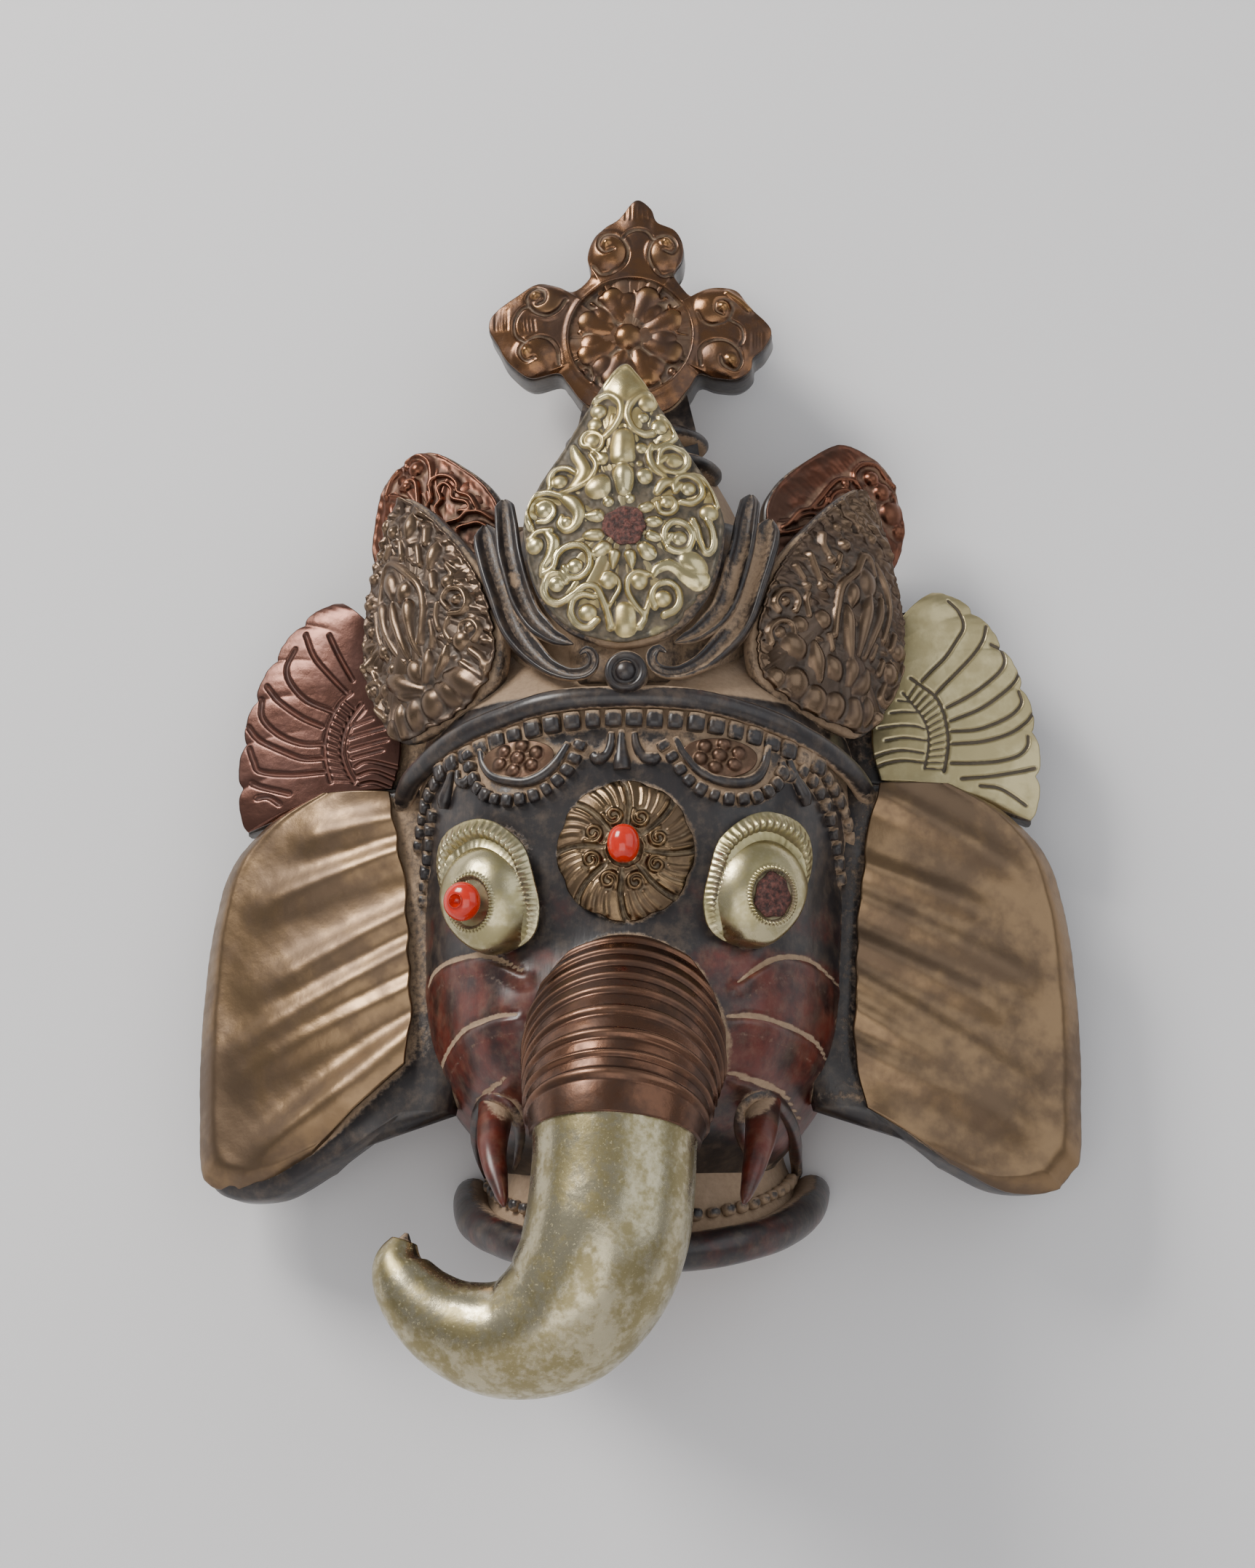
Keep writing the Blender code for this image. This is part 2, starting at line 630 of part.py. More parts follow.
def finial():
    edge = run_through(FINIAL_OUTLINE, FINIAL_COUNT, closed=True)
    rings = []
    for radius in FINIAL_RINGS:
        ring = []
        for u, v in edge:
            far = math.hypot(u, v)
            near = min(radius, far * (0.77 + 0.19 * radius / MEDALLION))
            a, b = u / far * near, v / far * near
            ring.append((a, b, finial_relief(a, b, 0, near)))
        rings.append(ring)
    medallion_edge = rings[-1]
    for s in (0.42, 1.0):
        ring = []
        for (u, v), inner in zip(edge, medallion_edge):
            a, b = inner[0] * (1 - s) + u * s, inner[1] * (1 - s) + v * s
            ring.append((a, b, finial_relief(a, b, s, math.hypot(a, b) if s < 1 else MEDALLION + 1)))
        rings.append(ring)
    placed = [[FINIAL.point(u, v, h) for u, v, h in ring] for ring in rings]
    hub = FINIAL.point(0, 0, BOSS_RISE + 1.0)
    sheet("finial_sheet", dome("finial_sheet", hub, placed), COPPER, FINIAL.out)
    under = -SHEET_WALL - FIT_GAP
    front = [FINIAL.point(u, v, 0.0, under) for u, v in edge]
    back = [FINIAL.point(u, v, 0.0, under - FINIAL_WOOD) for u, v in edge]
    show("finial_wood", loft("finial_wood", [front, back]), WOOD, makers)


# Calyx round the front leaf

CALYX_OUTER = [(34.5, 61, 35), (33, 63, 28), (30, 65, 18), (26.5, 67, 7), (20.5, 70, -1.5),
               (13, 74, -6), (8, 76, -6.5)]
CALYX_OUTER_RADII = (1.2, 3.0, 3.6, 3.8, 3.6, 3.2, 2.4)
CALYX_INNER = [(30, 62, 41), (29, 64.5, 34), (27.5, 67, 24), (23.5, 69, 11), (17, 72, 3), (10, 75, -1)]
CALYX_INNER_RADII = (1.0, 2.4, 2.8, 2.8, 2.6, 2.0)


LEAF_PIER = [  # z, fall, half width, reach, points, fullness
    (-8, 0, 20, 74, 8, 3), (12, 0, 24, 72, 8, 3), (34, 0, 19, 70, 8, 2.6), (60, 0, 9, 67, 8, 2.3)]
CALYX_PIER = [(-7, 0, 28, 68, 8, 4), (10, 0, 33, 66, 8, 5), (36, 0, 31, 60, 8, 5)]


def calyx(side, keys, radii, name):
    count = 8
    path = run_through([(side * x, d, z) for x, d, z in keys], count)
    wide = np.interp(np.linspace(0, 1, count), np.linspace(0, 1, len(radii)), radii)
    return roll(name, [at(*p) for p in path], [r * SHARE for r in wide], 5)


# Pieces on the face

ROSETTE = (0.4, -50.2)
ROSETTE_RADII = (16.4, 17.0)
ROSETTE_PETALS = 8
ROSETTE_RISE = 2.2          # swell of the flower over its rim
ROSETTE_PETAL_RISE = 1.2
ROSETTE_SEAT = 1.6          # hollow in its middle
ROSETTE_BEAD = 3.6          # underside of the coral bead
EYES = {"left": (-31.8, -57.5), "right": (31.0, -57.0)}
EYE_OUTLINE = [(-12.5, 1), (-10, 9), (-3, 15), (4, 16.3), (11, 13.5), (13.8, 7), (12.6, -1), (9.2, -9), (3, -15.5),
               (-4, -16), (-11, -13.2), (-13.5, -7)]
EYE_YAW, EYE_PITCH = 26, -8
EYE_STAND = 3.4      # an eye's rim over the face
EYE_BALL = (0.8, -4.2)
EYE_BALL_HALF = (12.2, 14)
EYE_BALL_RISE = 8.6
EYE_FLAT = 0.44      # flat seat on the ball, as a part of its radius
EYE_RIM = 0.4
EYE_TURN_BACK = 10    # how suddenly the ball turns back to the rim
LID_RISE = 3.2
EYE_COUNT = 14
EYE_CORE = [(0.34, 6.2), (0.96, -0.1), (1.0, -16.0)]    # size and height of the wood's rings
PENDANT = {"left": (-25.5, -27.5), "right": (23.5, -28.0)}
PENDANT_HALF = (7.5, 6.0)
PENDANT_BOSS = 1.4


def on_face(x, z, lift):
    """A point over the head's face, lift metres out of it towards the viewer."""
    return at(x, face_depth(x, z), z) + Vector((0.0, -lift, 0.0))


def rosette():
    x0, z0 = ROSETTE
    rings = []
    under = SHEET_WALL + DRAPE_GAP
    for s in (0.3, 0.7, 1.0):
        ring = []
        for turn in full_turn(2 * ROSETTE_PETALS):
            x = x0 + ROSETTE_RADII[0] * s * math.cos(turn)
            z = z0 + ROSETTE_RADII[1] * s * math.sin(turn)
            petal = ROSETTE_PETAL_RISE * (0.5 + 0.5 * math.cos(ROSETTE_PETALS * turn + 4 * s))
            rise = ROSETTE_RISE * (1 - s ** 4) + petal * math.sin(math.pi * s)
            ring.append(on_face(x, z, under + rise * SHARE))
        rings.append(ring)
    middle = on_face(x0, z0, under + ROSETTE_SEAT * SHARE)
    sheet("rosette", dome("rosette", middle, rings), BRASS, Vector((0, -1, 0)))


def eye_plane(side_name):
    x, z = EYES[side_name]
    side = -1 if side_name == "left" else 1
    return Plane(x, face_depth(x, z) + EYE_STAND, z, side * EYE_YAW, EYE_PITCH), side


def eye_rise(u, v, s):
    """A ball behind a fluted lid on its upper and inner side."""
    off = math.hypot((u - EYE_BALL[0]) / EYE_BALL_HALF[0], (v - EYE_BALL[1]) / EYE_BALL_HALF[1])
    ball = EYE_BALL_RISE * math.sqrt(max(0.0, 1 - max(EYE_FLAT, off) ** 2))
    upper = 0.5 + 0.5 * math.sin(math.atan2(v, -u) + 0.4)
    lid = LID_RISE * upper * math.exp(-((s - 0.84) / 0.12) ** 2)
    return max(ball * (1 - s ** EYE_TURN_BACK), lid) + EYE_RIM


def eye(side_name):
    plane, side = eye_plane(side_name)
    edge = run_through(EYE_OUTLINE, EYE_COUNT, closed=True)
    name = "eye_" + side_name

    def drawn_in(s):
        return [(EYE_BALL[0] + (u - EYE_BALL[0]) * s, EYE_BALL[1] + (v - EYE_BALL[1]) * s) for u, v in edge]

    rings = [[plane.point(side * u, v, eye_rise(u, v, s)) for u, v in drawn_in(s)] for s in (0.38, 0.8, 1.0)]
    middle = plane.point(side * EYE_BALL[0], EYE_BALL[1], eye_rise(*EYE_BALL, 0.0))
    sheet(name, dome(name, middle, rings), WHITE_METAL, plane.out)
    under = -SHEET_WALL - DRAPE_GAP
    core = [[plane.point(side * u, v, rise, under) for u, v in drawn_in(s)] for s, rise in EYE_CORE]
    top, foot = [plane.point(side * EYE_BALL[0], EYE_BALL[1], EYE_CORE[k][1], under) for k in (0, -1)]
    show(name + "_wood", dome(name + "_wood", top, core, foot), WOOD, makers)


def pendant(side_name):
    """A half-moon plaque with a boss in its middle."""
    x0, z0 = PENDANT[side_name]
    under = SHEET_WALL + DRAPE_GAP
    rings = []
    for s, rise in ((0.45, 0.9), (1.0, 0.2)):
        ring = []
        for turn in full_turn(10):
            low = math.sin(turn) if math.sin(turn) < 0 else 0.55 * math.sin(turn)
            x = x0 + PENDANT_HALF[0] * s * math.cos(turn)
            z = z0 + PENDANT_HALF[1] * s * low
            ring.append(on_face(x, z, under + rise * SHARE))
        rings.append(ring)
    name = "pendant_plaque_" + side_name
    middle = on_face(x0, z0, under + PENDANT_BOSS * SHARE)
    sheet(name, dome(name, middle, rings), DARK_COPPER, Vector((0, -1, 0)))


def drop_bead(name, centre, axis, radius, length, bore=0.0):
    """A barrel bead, turned about its own axis, with a bore where one shows."""
    profile = []
    for k in range(5):
        turn = math.pi * (k / 4 - 0.5) * 0.86
        profile.append((radius * math.cos(turn), length / 2 * math.sin(turn) / math.sin(math.pi * 0.43)))
    inner = max(bore, radius * 0.02)
    turns = full_turn(8)

    def build(bm):
        rows = [[Vector((r * math.cos(t), r * math.sin(t), h)) for t in turns] for r, h in profile]
        rows.append([Vector((inner * math.cos(t), inner * math.sin(t), profile[-1][1])) for t in turns])
        if bore:
            floor = profile[-1][1] - length * 0.4
            rows.append([Vector((inner * math.cos(t), inner * math.sin(t), floor)) for t in turns])
        made = skin(bm, rows, True)
        bm.faces.new(made[0])
        bm.faces.new(made[-1])

    piece = show(name, mesh_from(name, build), CORAL)
    piece.rotation_mode = "QUATERNION"
    piece.rotation_quaternion = Vector((0, 0, 1)).rotation_difference(axis)
    piece.location = centre


def residue(name, plane, u, v, h, radius):
    """What is left of the glue in the seat of a lost stone."""
    bpy.ops.mesh.primitive_cylinder_add(vertices=10, radius=radius, depth=RESIDUE_WALL)
    piece = bpy.context.object
    piece.name = name
    piece.data.materials.append(RESIDUE)
    move_to(pieces, piece)
    piece.rotation_mode = "QUATERNION"
    piece.rotation_quaternion = Vector((0, 0, 1)).rotation_difference(plane.out)
    piece.location = plane.point(u, v, h, FIT_GAP + RESIDUE_WALL / 2)


# Blocks that tie the leaves and the finial to the crown

REAR_LEAF_ROOT = ((20, 10, 30), (58, 20, 48))       # two corners
FAN_WOOD_ROOT = ((20, 6, -20), (52, 20, 18))
STEM = [(56, 17, 4, 32), (71, 15, 8, 26), (84, 12, 14, 25)]     # z, half width, near, far
TOPKNOT_RINGS = [(60, 21.5, 19, 4.5), (68, 18, 16, 4.0)]        # z, half width, half depth, half height
TOPKNOT_DEPTH = 22

def block(name, side, near, far):
    """A carved block between two corners, in shares, on one side of the middle line."""
    loops = []
    for z in (near[2], far[2]):
        corners = [(near[0], near[1]), (far[0], near[1]), (far[0], far[1]), (near[0], far[1])]
        loops.append([at(side * x, depth, z) for x, depth in corners])
    show(name, loft(name, loops), WOOD, makers)


def stem():
    """The wood under the finial."""
    loops = [[at(-w, near, z), at(w, near, z), at(w, far, z), at(-w, far, z)] for z, w, near, far in STEM]
    show("stem", loft("stem", loops), WOOD, makers)


def topknot_ring(z, half, depth, tall):
    bpy.ops.mesh.primitive_uv_sphere_add(segments=14, ring_count=4, radius=1.0)
    piece = bpy.context.object
    piece.name = "topknot_ring"
    piece.data.transform(Matrix.Diagonal((half * SHARE, depth * SHARE, tall * SHARE, 1.0)))
    piece.data.transform(Matrix.Translation(at(0, TOPKNOT_DEPTH, z)))
    piece.hide_render = True
    piece.display_type = "WIRE"
    move_to(makers, piece)


def build_wood():
    """Everything that is carved from the one block."""
    body = show("carved_head", head_mesh(), WOOD)
    show("trunk_core", trunk_core(), WOOD, makers)
    show("neck", neck(), WOOD, makers)
    show("collar", collar(), WOOD, makers)
    show("band", band(), WOOD, makers)
    show("band_beads", band_beads(), WOOD, makers)
    for side in (-1, 1):
        show("tusk", tusk(side), WOOD, makers)
        show("calyx_outer", calyx(side, CALYX_OUTER, CALYX_OUTER_RADII, "calyx_outer"), WOOD, makers)
        show("calyx_inner", calyx(side, CALYX_INNER, CALYX_INNER_RADII, "calyx_inner"), WOOD, makers)
        block("rear_leaf_root", side, *REAR_LEAF_ROOT)
        block("fan_root", side, *FAN_WOOD_ROOT)
    for name, pier in (("leaf_pier", LEAF_PIER), ("calyx_pier", CALYX_PIER)):
        show(name, loft(name, [half_round(*key) for key in pier]), WOOD, makers)
    stem()
    for key in TOPKNOT_RINGS:
        topknot_ring(*key)
    join = body.modifiers.new("one_block", "BOOLEAN")
    join.operation = "UNION"
    join.operand_type = "COLLECTION"
    join.collection = makers
    join.solver = "EXACT"
    bpy.ops.mesh.primitive_cube_add(size=WALL_BLOCK, location=(0.0, WALL_BLOCK / 2, 0.0))
    wall = bpy.context.object
    wall.name = "wall"
    wall.hide_render = True
    wall.display_type = "WIRE"
    move_to(cutters, wall)
    back = body.modifiers.new("flat_back", "BOOLEAN")
    back.operation = "DIFFERENCE"
    back.object = wall
    back.solver = "EXACT"
    merge = body.modifiers.new("flat_faces", "DECIMATE")
    merge.decimate_type = "DISSOLVE"
    merge.angle_limit = math.radians(FACET_ANGLE)


leaf("crown_front_sheet", FRONT_LEAF, whole(FRONT_HALF), (0, 2), leaf_relief, WHITE_METAL, 1, 24,
     (0.22, 0.42, 0.86, 1.0))
for side, word in ((-1, "left"), (1, "right")):
    leaf("crown_" + word + "_sheet", mirrored(SIDE_LEAF, side), SIDE_OUTLINE, (0, 0), bud_relief, BRONZE,
         side, 20, (0.36, 0.74, 1.0))
    leaf("rear_" + word + "_sheet", mirrored(REAR_LEAF, side), REAR_OUTLINE, (1, 0), cloud_relief, COPPER,
         side, 14, (0.56, 1.0))
    ribbed("ear_" + word + "_sheet", mirrored(EAR, side), EAR_ROOT, EAR_MARGIN, EAR_RIBS, RIB_HEIGHT,
           ear_crown, BRASS, side, EAR_WOOD, EAR_TUCK, 0.0, 1)
    ribbed("fan_" + word + "_sheet", mirrored(FAN, side), FAN_ROOT, FAN_MARGIN, FAN_RIBS, FAN_RIB_HEIGHT,
           fan_crown, DARK_COPPER if side < 0 else WHITE_METAL, side, FAN_WOOD, FAN_TUCK, FAN_BOW, 2)
    eye(word)
    pendant(word)
finial()
rosette()
trunk_sleeve("trunk_copper_sleeve", COPPER_SPAN, COPPER, 2 * RING_COUNT, COPPER_COLUMNS, RING_HEIGHT)
trunk_sleeve("trunk_silver_sleeve", SILVER_SPAN, WHITE_METAL, SILVER_STEPS, SILVER_COLUMNS, 0.0)
left_plane, _ = eye_plane("left")
right_plane, _ = eye_plane("right")
ball_top = eye_rise(*EYE_BALL, 0.0)
bead_middle = left_plane.point(-EYE_BALL[0], EYE_BALL[1], ball_top, FIT_GAP + EYE_BEAD_LENGTH / 2)
drop_bead("coral_bead_eye", bead_middle, left_plane.out, EYE_BEAD_RADIUS, EYE_BEAD_LENGTH, EYE_BEAD_BORE)
bead_lift = SHEET_WALL + DRAPE_GAP + ROSETTE_BEAD * SHARE + FIT_GAP + CORAL_RADIUS
drop_bead("coral_bead_forehead", on_face(*ROSETTE, bead_lift), Vector((0, 0, 1)), CORAL_RADIUS, CORAL_LENGTH)
residue("pupil_residue", right_plane, EYE_BALL[0], EYE_BALL[1], ball_top, PUPIL_RADIUS)
residue("seat_residue", FRONT_LEAF, *LEAF_SEAT, leaf_relief(*LEAF_SEAT, 0.0) + LEAF_SEAT_RISE, SEAT_RADIUS)
build_wood()
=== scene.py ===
# Carved elephant-head wall mask with beaten metal sheets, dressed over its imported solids.
# Lengths are millimetres (one share of the mask's height each) until they are put in place.
import json
import math
import re

import bmesh
import bpy
import numpy as np
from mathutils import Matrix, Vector
from mathutils.bvhtree import BVHTree

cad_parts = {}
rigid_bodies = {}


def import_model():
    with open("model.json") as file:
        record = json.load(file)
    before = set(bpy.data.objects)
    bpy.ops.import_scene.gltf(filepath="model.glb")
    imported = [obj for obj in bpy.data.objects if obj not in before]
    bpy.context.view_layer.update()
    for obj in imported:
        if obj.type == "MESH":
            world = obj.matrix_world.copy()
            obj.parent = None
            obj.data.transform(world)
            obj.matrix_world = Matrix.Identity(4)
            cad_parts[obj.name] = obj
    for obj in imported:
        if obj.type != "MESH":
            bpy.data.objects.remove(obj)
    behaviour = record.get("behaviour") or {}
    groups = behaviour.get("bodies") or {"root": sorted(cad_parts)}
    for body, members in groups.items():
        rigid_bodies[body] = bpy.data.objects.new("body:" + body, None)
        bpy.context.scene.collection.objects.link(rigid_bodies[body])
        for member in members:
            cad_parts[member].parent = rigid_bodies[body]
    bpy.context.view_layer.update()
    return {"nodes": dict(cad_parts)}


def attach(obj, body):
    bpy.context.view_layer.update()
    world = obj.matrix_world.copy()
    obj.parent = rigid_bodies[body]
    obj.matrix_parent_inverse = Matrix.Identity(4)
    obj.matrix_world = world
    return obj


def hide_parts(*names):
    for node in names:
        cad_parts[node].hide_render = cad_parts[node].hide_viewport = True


for leftover in list(bpy.data.objects):
    bpy.data.objects.remove(leftover, do_unlink=True)
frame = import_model()
print("frame loaded:", len(frame["nodes"]), "solids")

mm = 0.001


# points, curves and turned planes

def at(x, depth, z):
    x, depth, z = np.broadcast_arrays(np.asarray(x, float), np.asarray(depth, float), np.asarray(z, float))
    return np.stack([x, -depth, z], -1) * mm


def turnedPlane(x, depth, z, yaw=0.0, pitch=0.0, side=1):
    turn, lean = math.radians(yaw) * side, math.radians(pitch)
    out = np.array([math.sin(turn) * math.cos(lean), -math.cos(turn) * math.cos(lean), math.sin(lean)])
    right = np.array([math.cos(turn), math.sin(turn), 0.0])
    return {"origin": at(x * side, depth, z), "right": right * side, "up": np.cross(out, right), "out": out}


def onPlane(plane, u, v, h):
    u, v, h = np.broadcast_arrays(np.asarray(u, float), np.asarray(v, float), np.asarray(h, float))
    spread = u[..., None] * plane["right"] + v[..., None] * plane["up"] + h[..., None] * plane["out"]
    return plane["origin"] + spread * mm


def runThrough(keys, count, closed=False):
    # evenly spread points on a smooth curve through the keys
    keys = np.array(keys, float)
    if len(keys) == 1:
        return np.repeat(keys, count, 0)
    if closed:
        keys = np.vstack([keys[-1:], keys, keys[:2]])
    else:
        keys = np.vstack([2 * keys[0] - keys[1], keys, 2 * keys[-1] - keys[-2]])
    steps = np.linspace(0.0, 1.0, 24, endpoint=False)[:, None]
    fine = []
    for k in range(1, len(keys) - 2):
        a, b, c, d = keys[k - 1:k + 3]
        fine.append(0.5 * (2 * b + (c - a) * steps + (2 * a - 5 * b + 4 * c - d) * steps ** 2
                           + (3 * b - a - 3 * c + d) * steps ** 3))
    fine = np.vstack(fine + [keys[-2:-1]])
    reach = np.concatenate([[0.0], np.cumsum(np.linalg.norm(np.diff(fine[:, :3], axis=0), axis=1))])
    wanted = np.linspace(0.0, reach[-1], count, endpoint=not closed)
    return np.stack([np.interp(wanted, reach, fine[:, i]) for i in range(keys.shape[1])], axis=1)


def easedTable(keys, values):
    # the other columns of a table at many values of its first column, eased between the keys
    table = np.array(sorted(keys), float)
    values = np.clip(np.asarray(values, float), table[0, 0], table[-1, 0])
    k = np.clip(np.searchsorted(table[:, 0], values, side="right") - 1, 0, len(table) - 2)
    low, high = table[k], table[k + 1]
    before, after = table[np.maximum(k - 1, 0)], table[np.minimum(k + 2, len(table) - 1)]
    step = (high[..., :1] - low[..., :1])
    t = (values[..., None] - low[..., :1]) / step
    slopeLow = (high - before) / (high[..., :1] - before[..., :1]) * step
    slopeHigh = (after - low) / (after[..., :1] - low[..., :1]) * step
    eased = ((2 * t ** 3 - 3 * t * t + 1) * low + (t ** 3 - 2 * t * t + t) * slopeLow
             + (3 * t * t - 2 * t ** 3) * high + (t ** 3 - t * t) * slopeHigh)
    return eased[..., 1:]


def fullTurn(count):
    return 2 * math.pi * np.arange(count) / count


def bell(value, middle, width):
    return np.exp(-((value - middle) / width) ** 2)


def rippled(x, y, z, size, seed=0):
    # cheap smooth noise between -1 and 1 for dents and uneven edges
    total = np.zeros(np.broadcast(x, y, z).shape)
    rolls = np.random.default_rng(seed)
    for k in range(5):
        way = rolls.normal(size=3)
        way = way / np.linalg.norm(way) * (1.4 ** k) / size
        total = total + np.sin(x * way[0] + y * way[1] + z * way[2] + rolls.uniform(0, 6.28)) / 1.3 ** k
    return total / 2.6


# relief: a field of heights in a plane, on which strokes are beaten up or cut in

def blankRelief(u0, u1, v0, v1, step=0.2):
    us, vs = np.arange(u0, u1 + step, step), np.arange(v0, v1 + step, step)
    return {"u0": u0, "v0": v0, "step": step, "u": us, "v": vs,
            "up": np.zeros((len(vs), len(us))), "cut": np.zeros((len(vs), len(us)))}


def beat(relief, points, height, field="up", sharp=0.8):
    # points are (u, v, half width); the height follows the width where a stroke tapers
    points = np.array(points, float)
    length = np.sum(np.linalg.norm(np.diff(points[:, :2], axis=0), axis=1)) if len(points) > 1 else 0.0
    widest = points[:, 2].max()
    line = runThrough(points, max(2, int(length / 0.25))) if len(points) > 1 else points
    step = relief["step"]
    field = relief[field]
    for u, v, wide in line:
        wide = max(wide, 0.2)
        i0, i1 = int((u - wide - relief["u0"]) / step), int((u + wide - relief["u0"]) / step) + 2
        j0, j1 = int((v - wide - relief["v0"]) / step), int((v + wide - relief["v0"]) / step) + 2
        i0, j0 = max(i0, 0), max(j0, 0)
        patch = field[j0:j1, i0:i1]
        if patch.size == 0:
            continue
        off = ((relief["u"][None, i0:i1] - u) ** 2 + (relief["v"][j0:j1, None] - v) ** 2) / wide ** 2
        rise = height * (wide / widest) ** 0.6 * np.maximum(0.0, 1 - off) ** sharp
        np.maximum(patch, rise, out=patch)


# the field that a stroke works on, and how sharply it falls off
strokeKinds = {"r": ("up", 0.8), "g": ("cut", 0.7), "b": ("up", 0.6)}


def beatAll(relief, text, lift=1.0, broad=1.0):
    # a stroke starts with its letter (ridge, groove or boss), height and, where it is even, half width;
    # its points u,v or u,v,half width follow
    for stroke in re.findall("[rgb][^rgb]+", text):
        head, *words = stroke.split()
        height, _, wide = head[1:].partition(",")
        points = np.array([[float(n) for n in (word + "," + wide).strip(",").split(",")] for word in words])
        points[:, 2] *= broad
        beat(relief, points, float(height) * lift, *strokeKinds[head[0]])


def blurred(field, reach):
    half = int(3 * reach) + 1
    kernel = np.exp(-0.5 * (np.arange(-half, half + 1) / reach) ** 2)
    kernel /= kernel.sum()
    padded = np.pad(field, half, mode="edge")
    rows = np.apply_along_axis(lambda r: np.convolve(r, kernel, "valid"), 1, padded)
    return np.apply_along_axis(lambda r: np.convolve(r, kernel, "valid"), 0, rows)


def readRelief(relief, u, v):
    # height and hollow at many points; hollow is how far the surface lies under its surroundings
    if "height" not in relief:
        relief["height"] = blurred(relief["up"] - relief["cut"], 0.18 / relief["step"])
        relief["hollow"] = blurred(relief["height"], 1.3 / relief["step"]) - relief["height"]
    i = np.clip((np.asarray(u) - relief["u0"]) / relief["step"], 0, len(relief["u"]) - 1.001)
    j = np.clip((np.asarray(v) - relief["v0"]) / relief["step"], 0, len(relief["v"]) - 1.001)
    i0, j0 = i.astype(int), j.astype(int)
    a, b = i - i0, j - j0

    def read(field):
        return ((field[j0, i0] * (1 - a) + field[j0, i0 + 1] * a) * (1 - b)
                + (field[j0 + 1, i0] * (1 - a) + field[j0 + 1, i0 + 1] * a) * b)

    return read(relief["height"]), read(relief["hollow"])


# meshes: shapes gather closed shells with what their finish needs at each point

def setField(mesh, name, values, kind="FLOAT"):
    field = mesh.attributes.new(name, kind, "POINT")
    field.data.foreach_set("value" if kind == "FLOAT" else "vector", np.asarray(values, np.float32).ravel())


def pointsOf(mesh):
    points = np.empty(len(mesh.vertices) * 3)
    mesh.vertices.foreach_get("co", points)
    return points.reshape(-1, 3)


def newShape():
    return {"points": [], "faces": [], "marks": {"tint": [], "dusty": [], "hollow": []}, "count": 0}


def addShell(shape, points, faces, tint=0.0, dusty=0.0, hollow=0.0):
    points = np.asarray(points, float).reshape(-1, 3)
    shape["points"].append(points)
    shape["faces"].extend([tuple(int(i) + shape["count"] for i in face) for face in faces])
    for name, value in (("tint", tint), ("dusty", dusty), ("hollow", hollow)):
        shape["marks"][name].append(np.broadcast_to(np.asarray(value, float).ravel(), (len(points),)))
    shape["count"] += len(points)


def addClosed(shape, loops, top, foot, **marks):
    # quads between the loops, and a fan of triangles to a point at each end
    rows, columns = loops.shape[:2]
    faces = []
    for j in range(rows - 1):
        for k in range(columns):
            n = (k + 1) % columns
            faces.append((j * columns + k, j * columns + n, (j + 1) * columns + n, (j + 1) * columns + k))
    first, last = rows * columns, rows * columns + 1
    for k in range(columns):
        n = (k + 1) % columns
        faces.append((first, n, k))
        faces.append((last, (rows - 1) * columns + k, (rows - 1) * columns + n))
    addShell(shape, np.vstack([loops.reshape(-1, 3), np.asarray(top)[None], np.asarray(foot)[None]]), faces,
             **marks)


def addLoft(shape, loops, **marks):
    # closed loops of points one after another, with both ends closed by a fan
    loops = np.asarray(loops, float)
    rows, columns = loops.shape[:2]
    for name, value in marks.items():
        if np.size(value) > 1:
            value = np.asarray(value, float)
            if value.size == rows:
                value = np.repeat(value.reshape(-1, 1), columns, 1)
            marks[name] = np.concatenate([value.ravel(), [value[0].mean()], [value[-1].mean()]])
    addClosed(shape, loops, loops[0].mean(0), loops[-1].mean(0), **marks)


def framesAlong(path, facing=(0.0, -1.0, 0.0)):
    path = np.asarray(path, float)
    ahead = np.gradient(path, axis=0)
    ahead /= np.linalg.norm(ahead, axis=1)[:, None]
    facing = np.asarray(facing, float)
    front = facing - ahead * (ahead @ facing)[:, None]
    front /= np.linalg.norm(front, axis=1)[:, None]
    return np.cross(ahead, front), front


def addRoll(shape, path, radii, sides=16, flat=1.0, **marks):
    # a round moulding along a path; flat squeezes it towards the viewer
    path = np.asarray(path, float)
    side, front = framesAlong(path)
    turns = fullTurn(sides)
    radii = np.broadcast_to(np.asarray(radii, float), (len(path),))[:, None, None]
    loops = (path[:, None] + front[:, None] * np.cos(turns)[None, :, None] * radii * flat
             + side[:, None] * np.sin(turns)[None, :, None] * radii)
    addLoft(shape, loops, **marks)


def meshOf(name, shape):
    mesh = bpy.data.meshes.new(name)
    points = np.vstack(shape["points"])
    mesh.from_pydata(points.tolist(), [], shape["faces"])
    work = bmesh.new()
    work.from_mesh(mesh)
    bmesh.ops.recalc_face_normals(work, faces=work.faces[:])
    work.to_mesh(mesh)
    work.free()
    for key, values in shape["marks"].items():
        setField(mesh, key, np.concatenate(values))
    mesh.shade_smooth()
    return mesh


pieces = []


def showPiece(name, shape, finish, replaced):
    mesh = meshOf(name, shape) if isinstance(shape, dict) else shape
    piece = bpy.data.objects.new(name, mesh)
    bpy.context.scene.collection.objects.link(piece)
    if not mesh.materials:
        mesh.materials.append(finish)
    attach(piece, "root")
    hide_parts(*replaced)
    pieces.append(piece)
    print("made", name, len(mesh.polygons), "faces")


# finishes

def colour(hexCode):
    parts = [int(hexCode[i:i + 2], 16) / 255 for i in (1, 3, 5)]
    return tuple(c / 12.92 if c <= 0.04045 else ((c + 0.055) / 1.055) ** 2.4 for c in parts) + (1.0,)


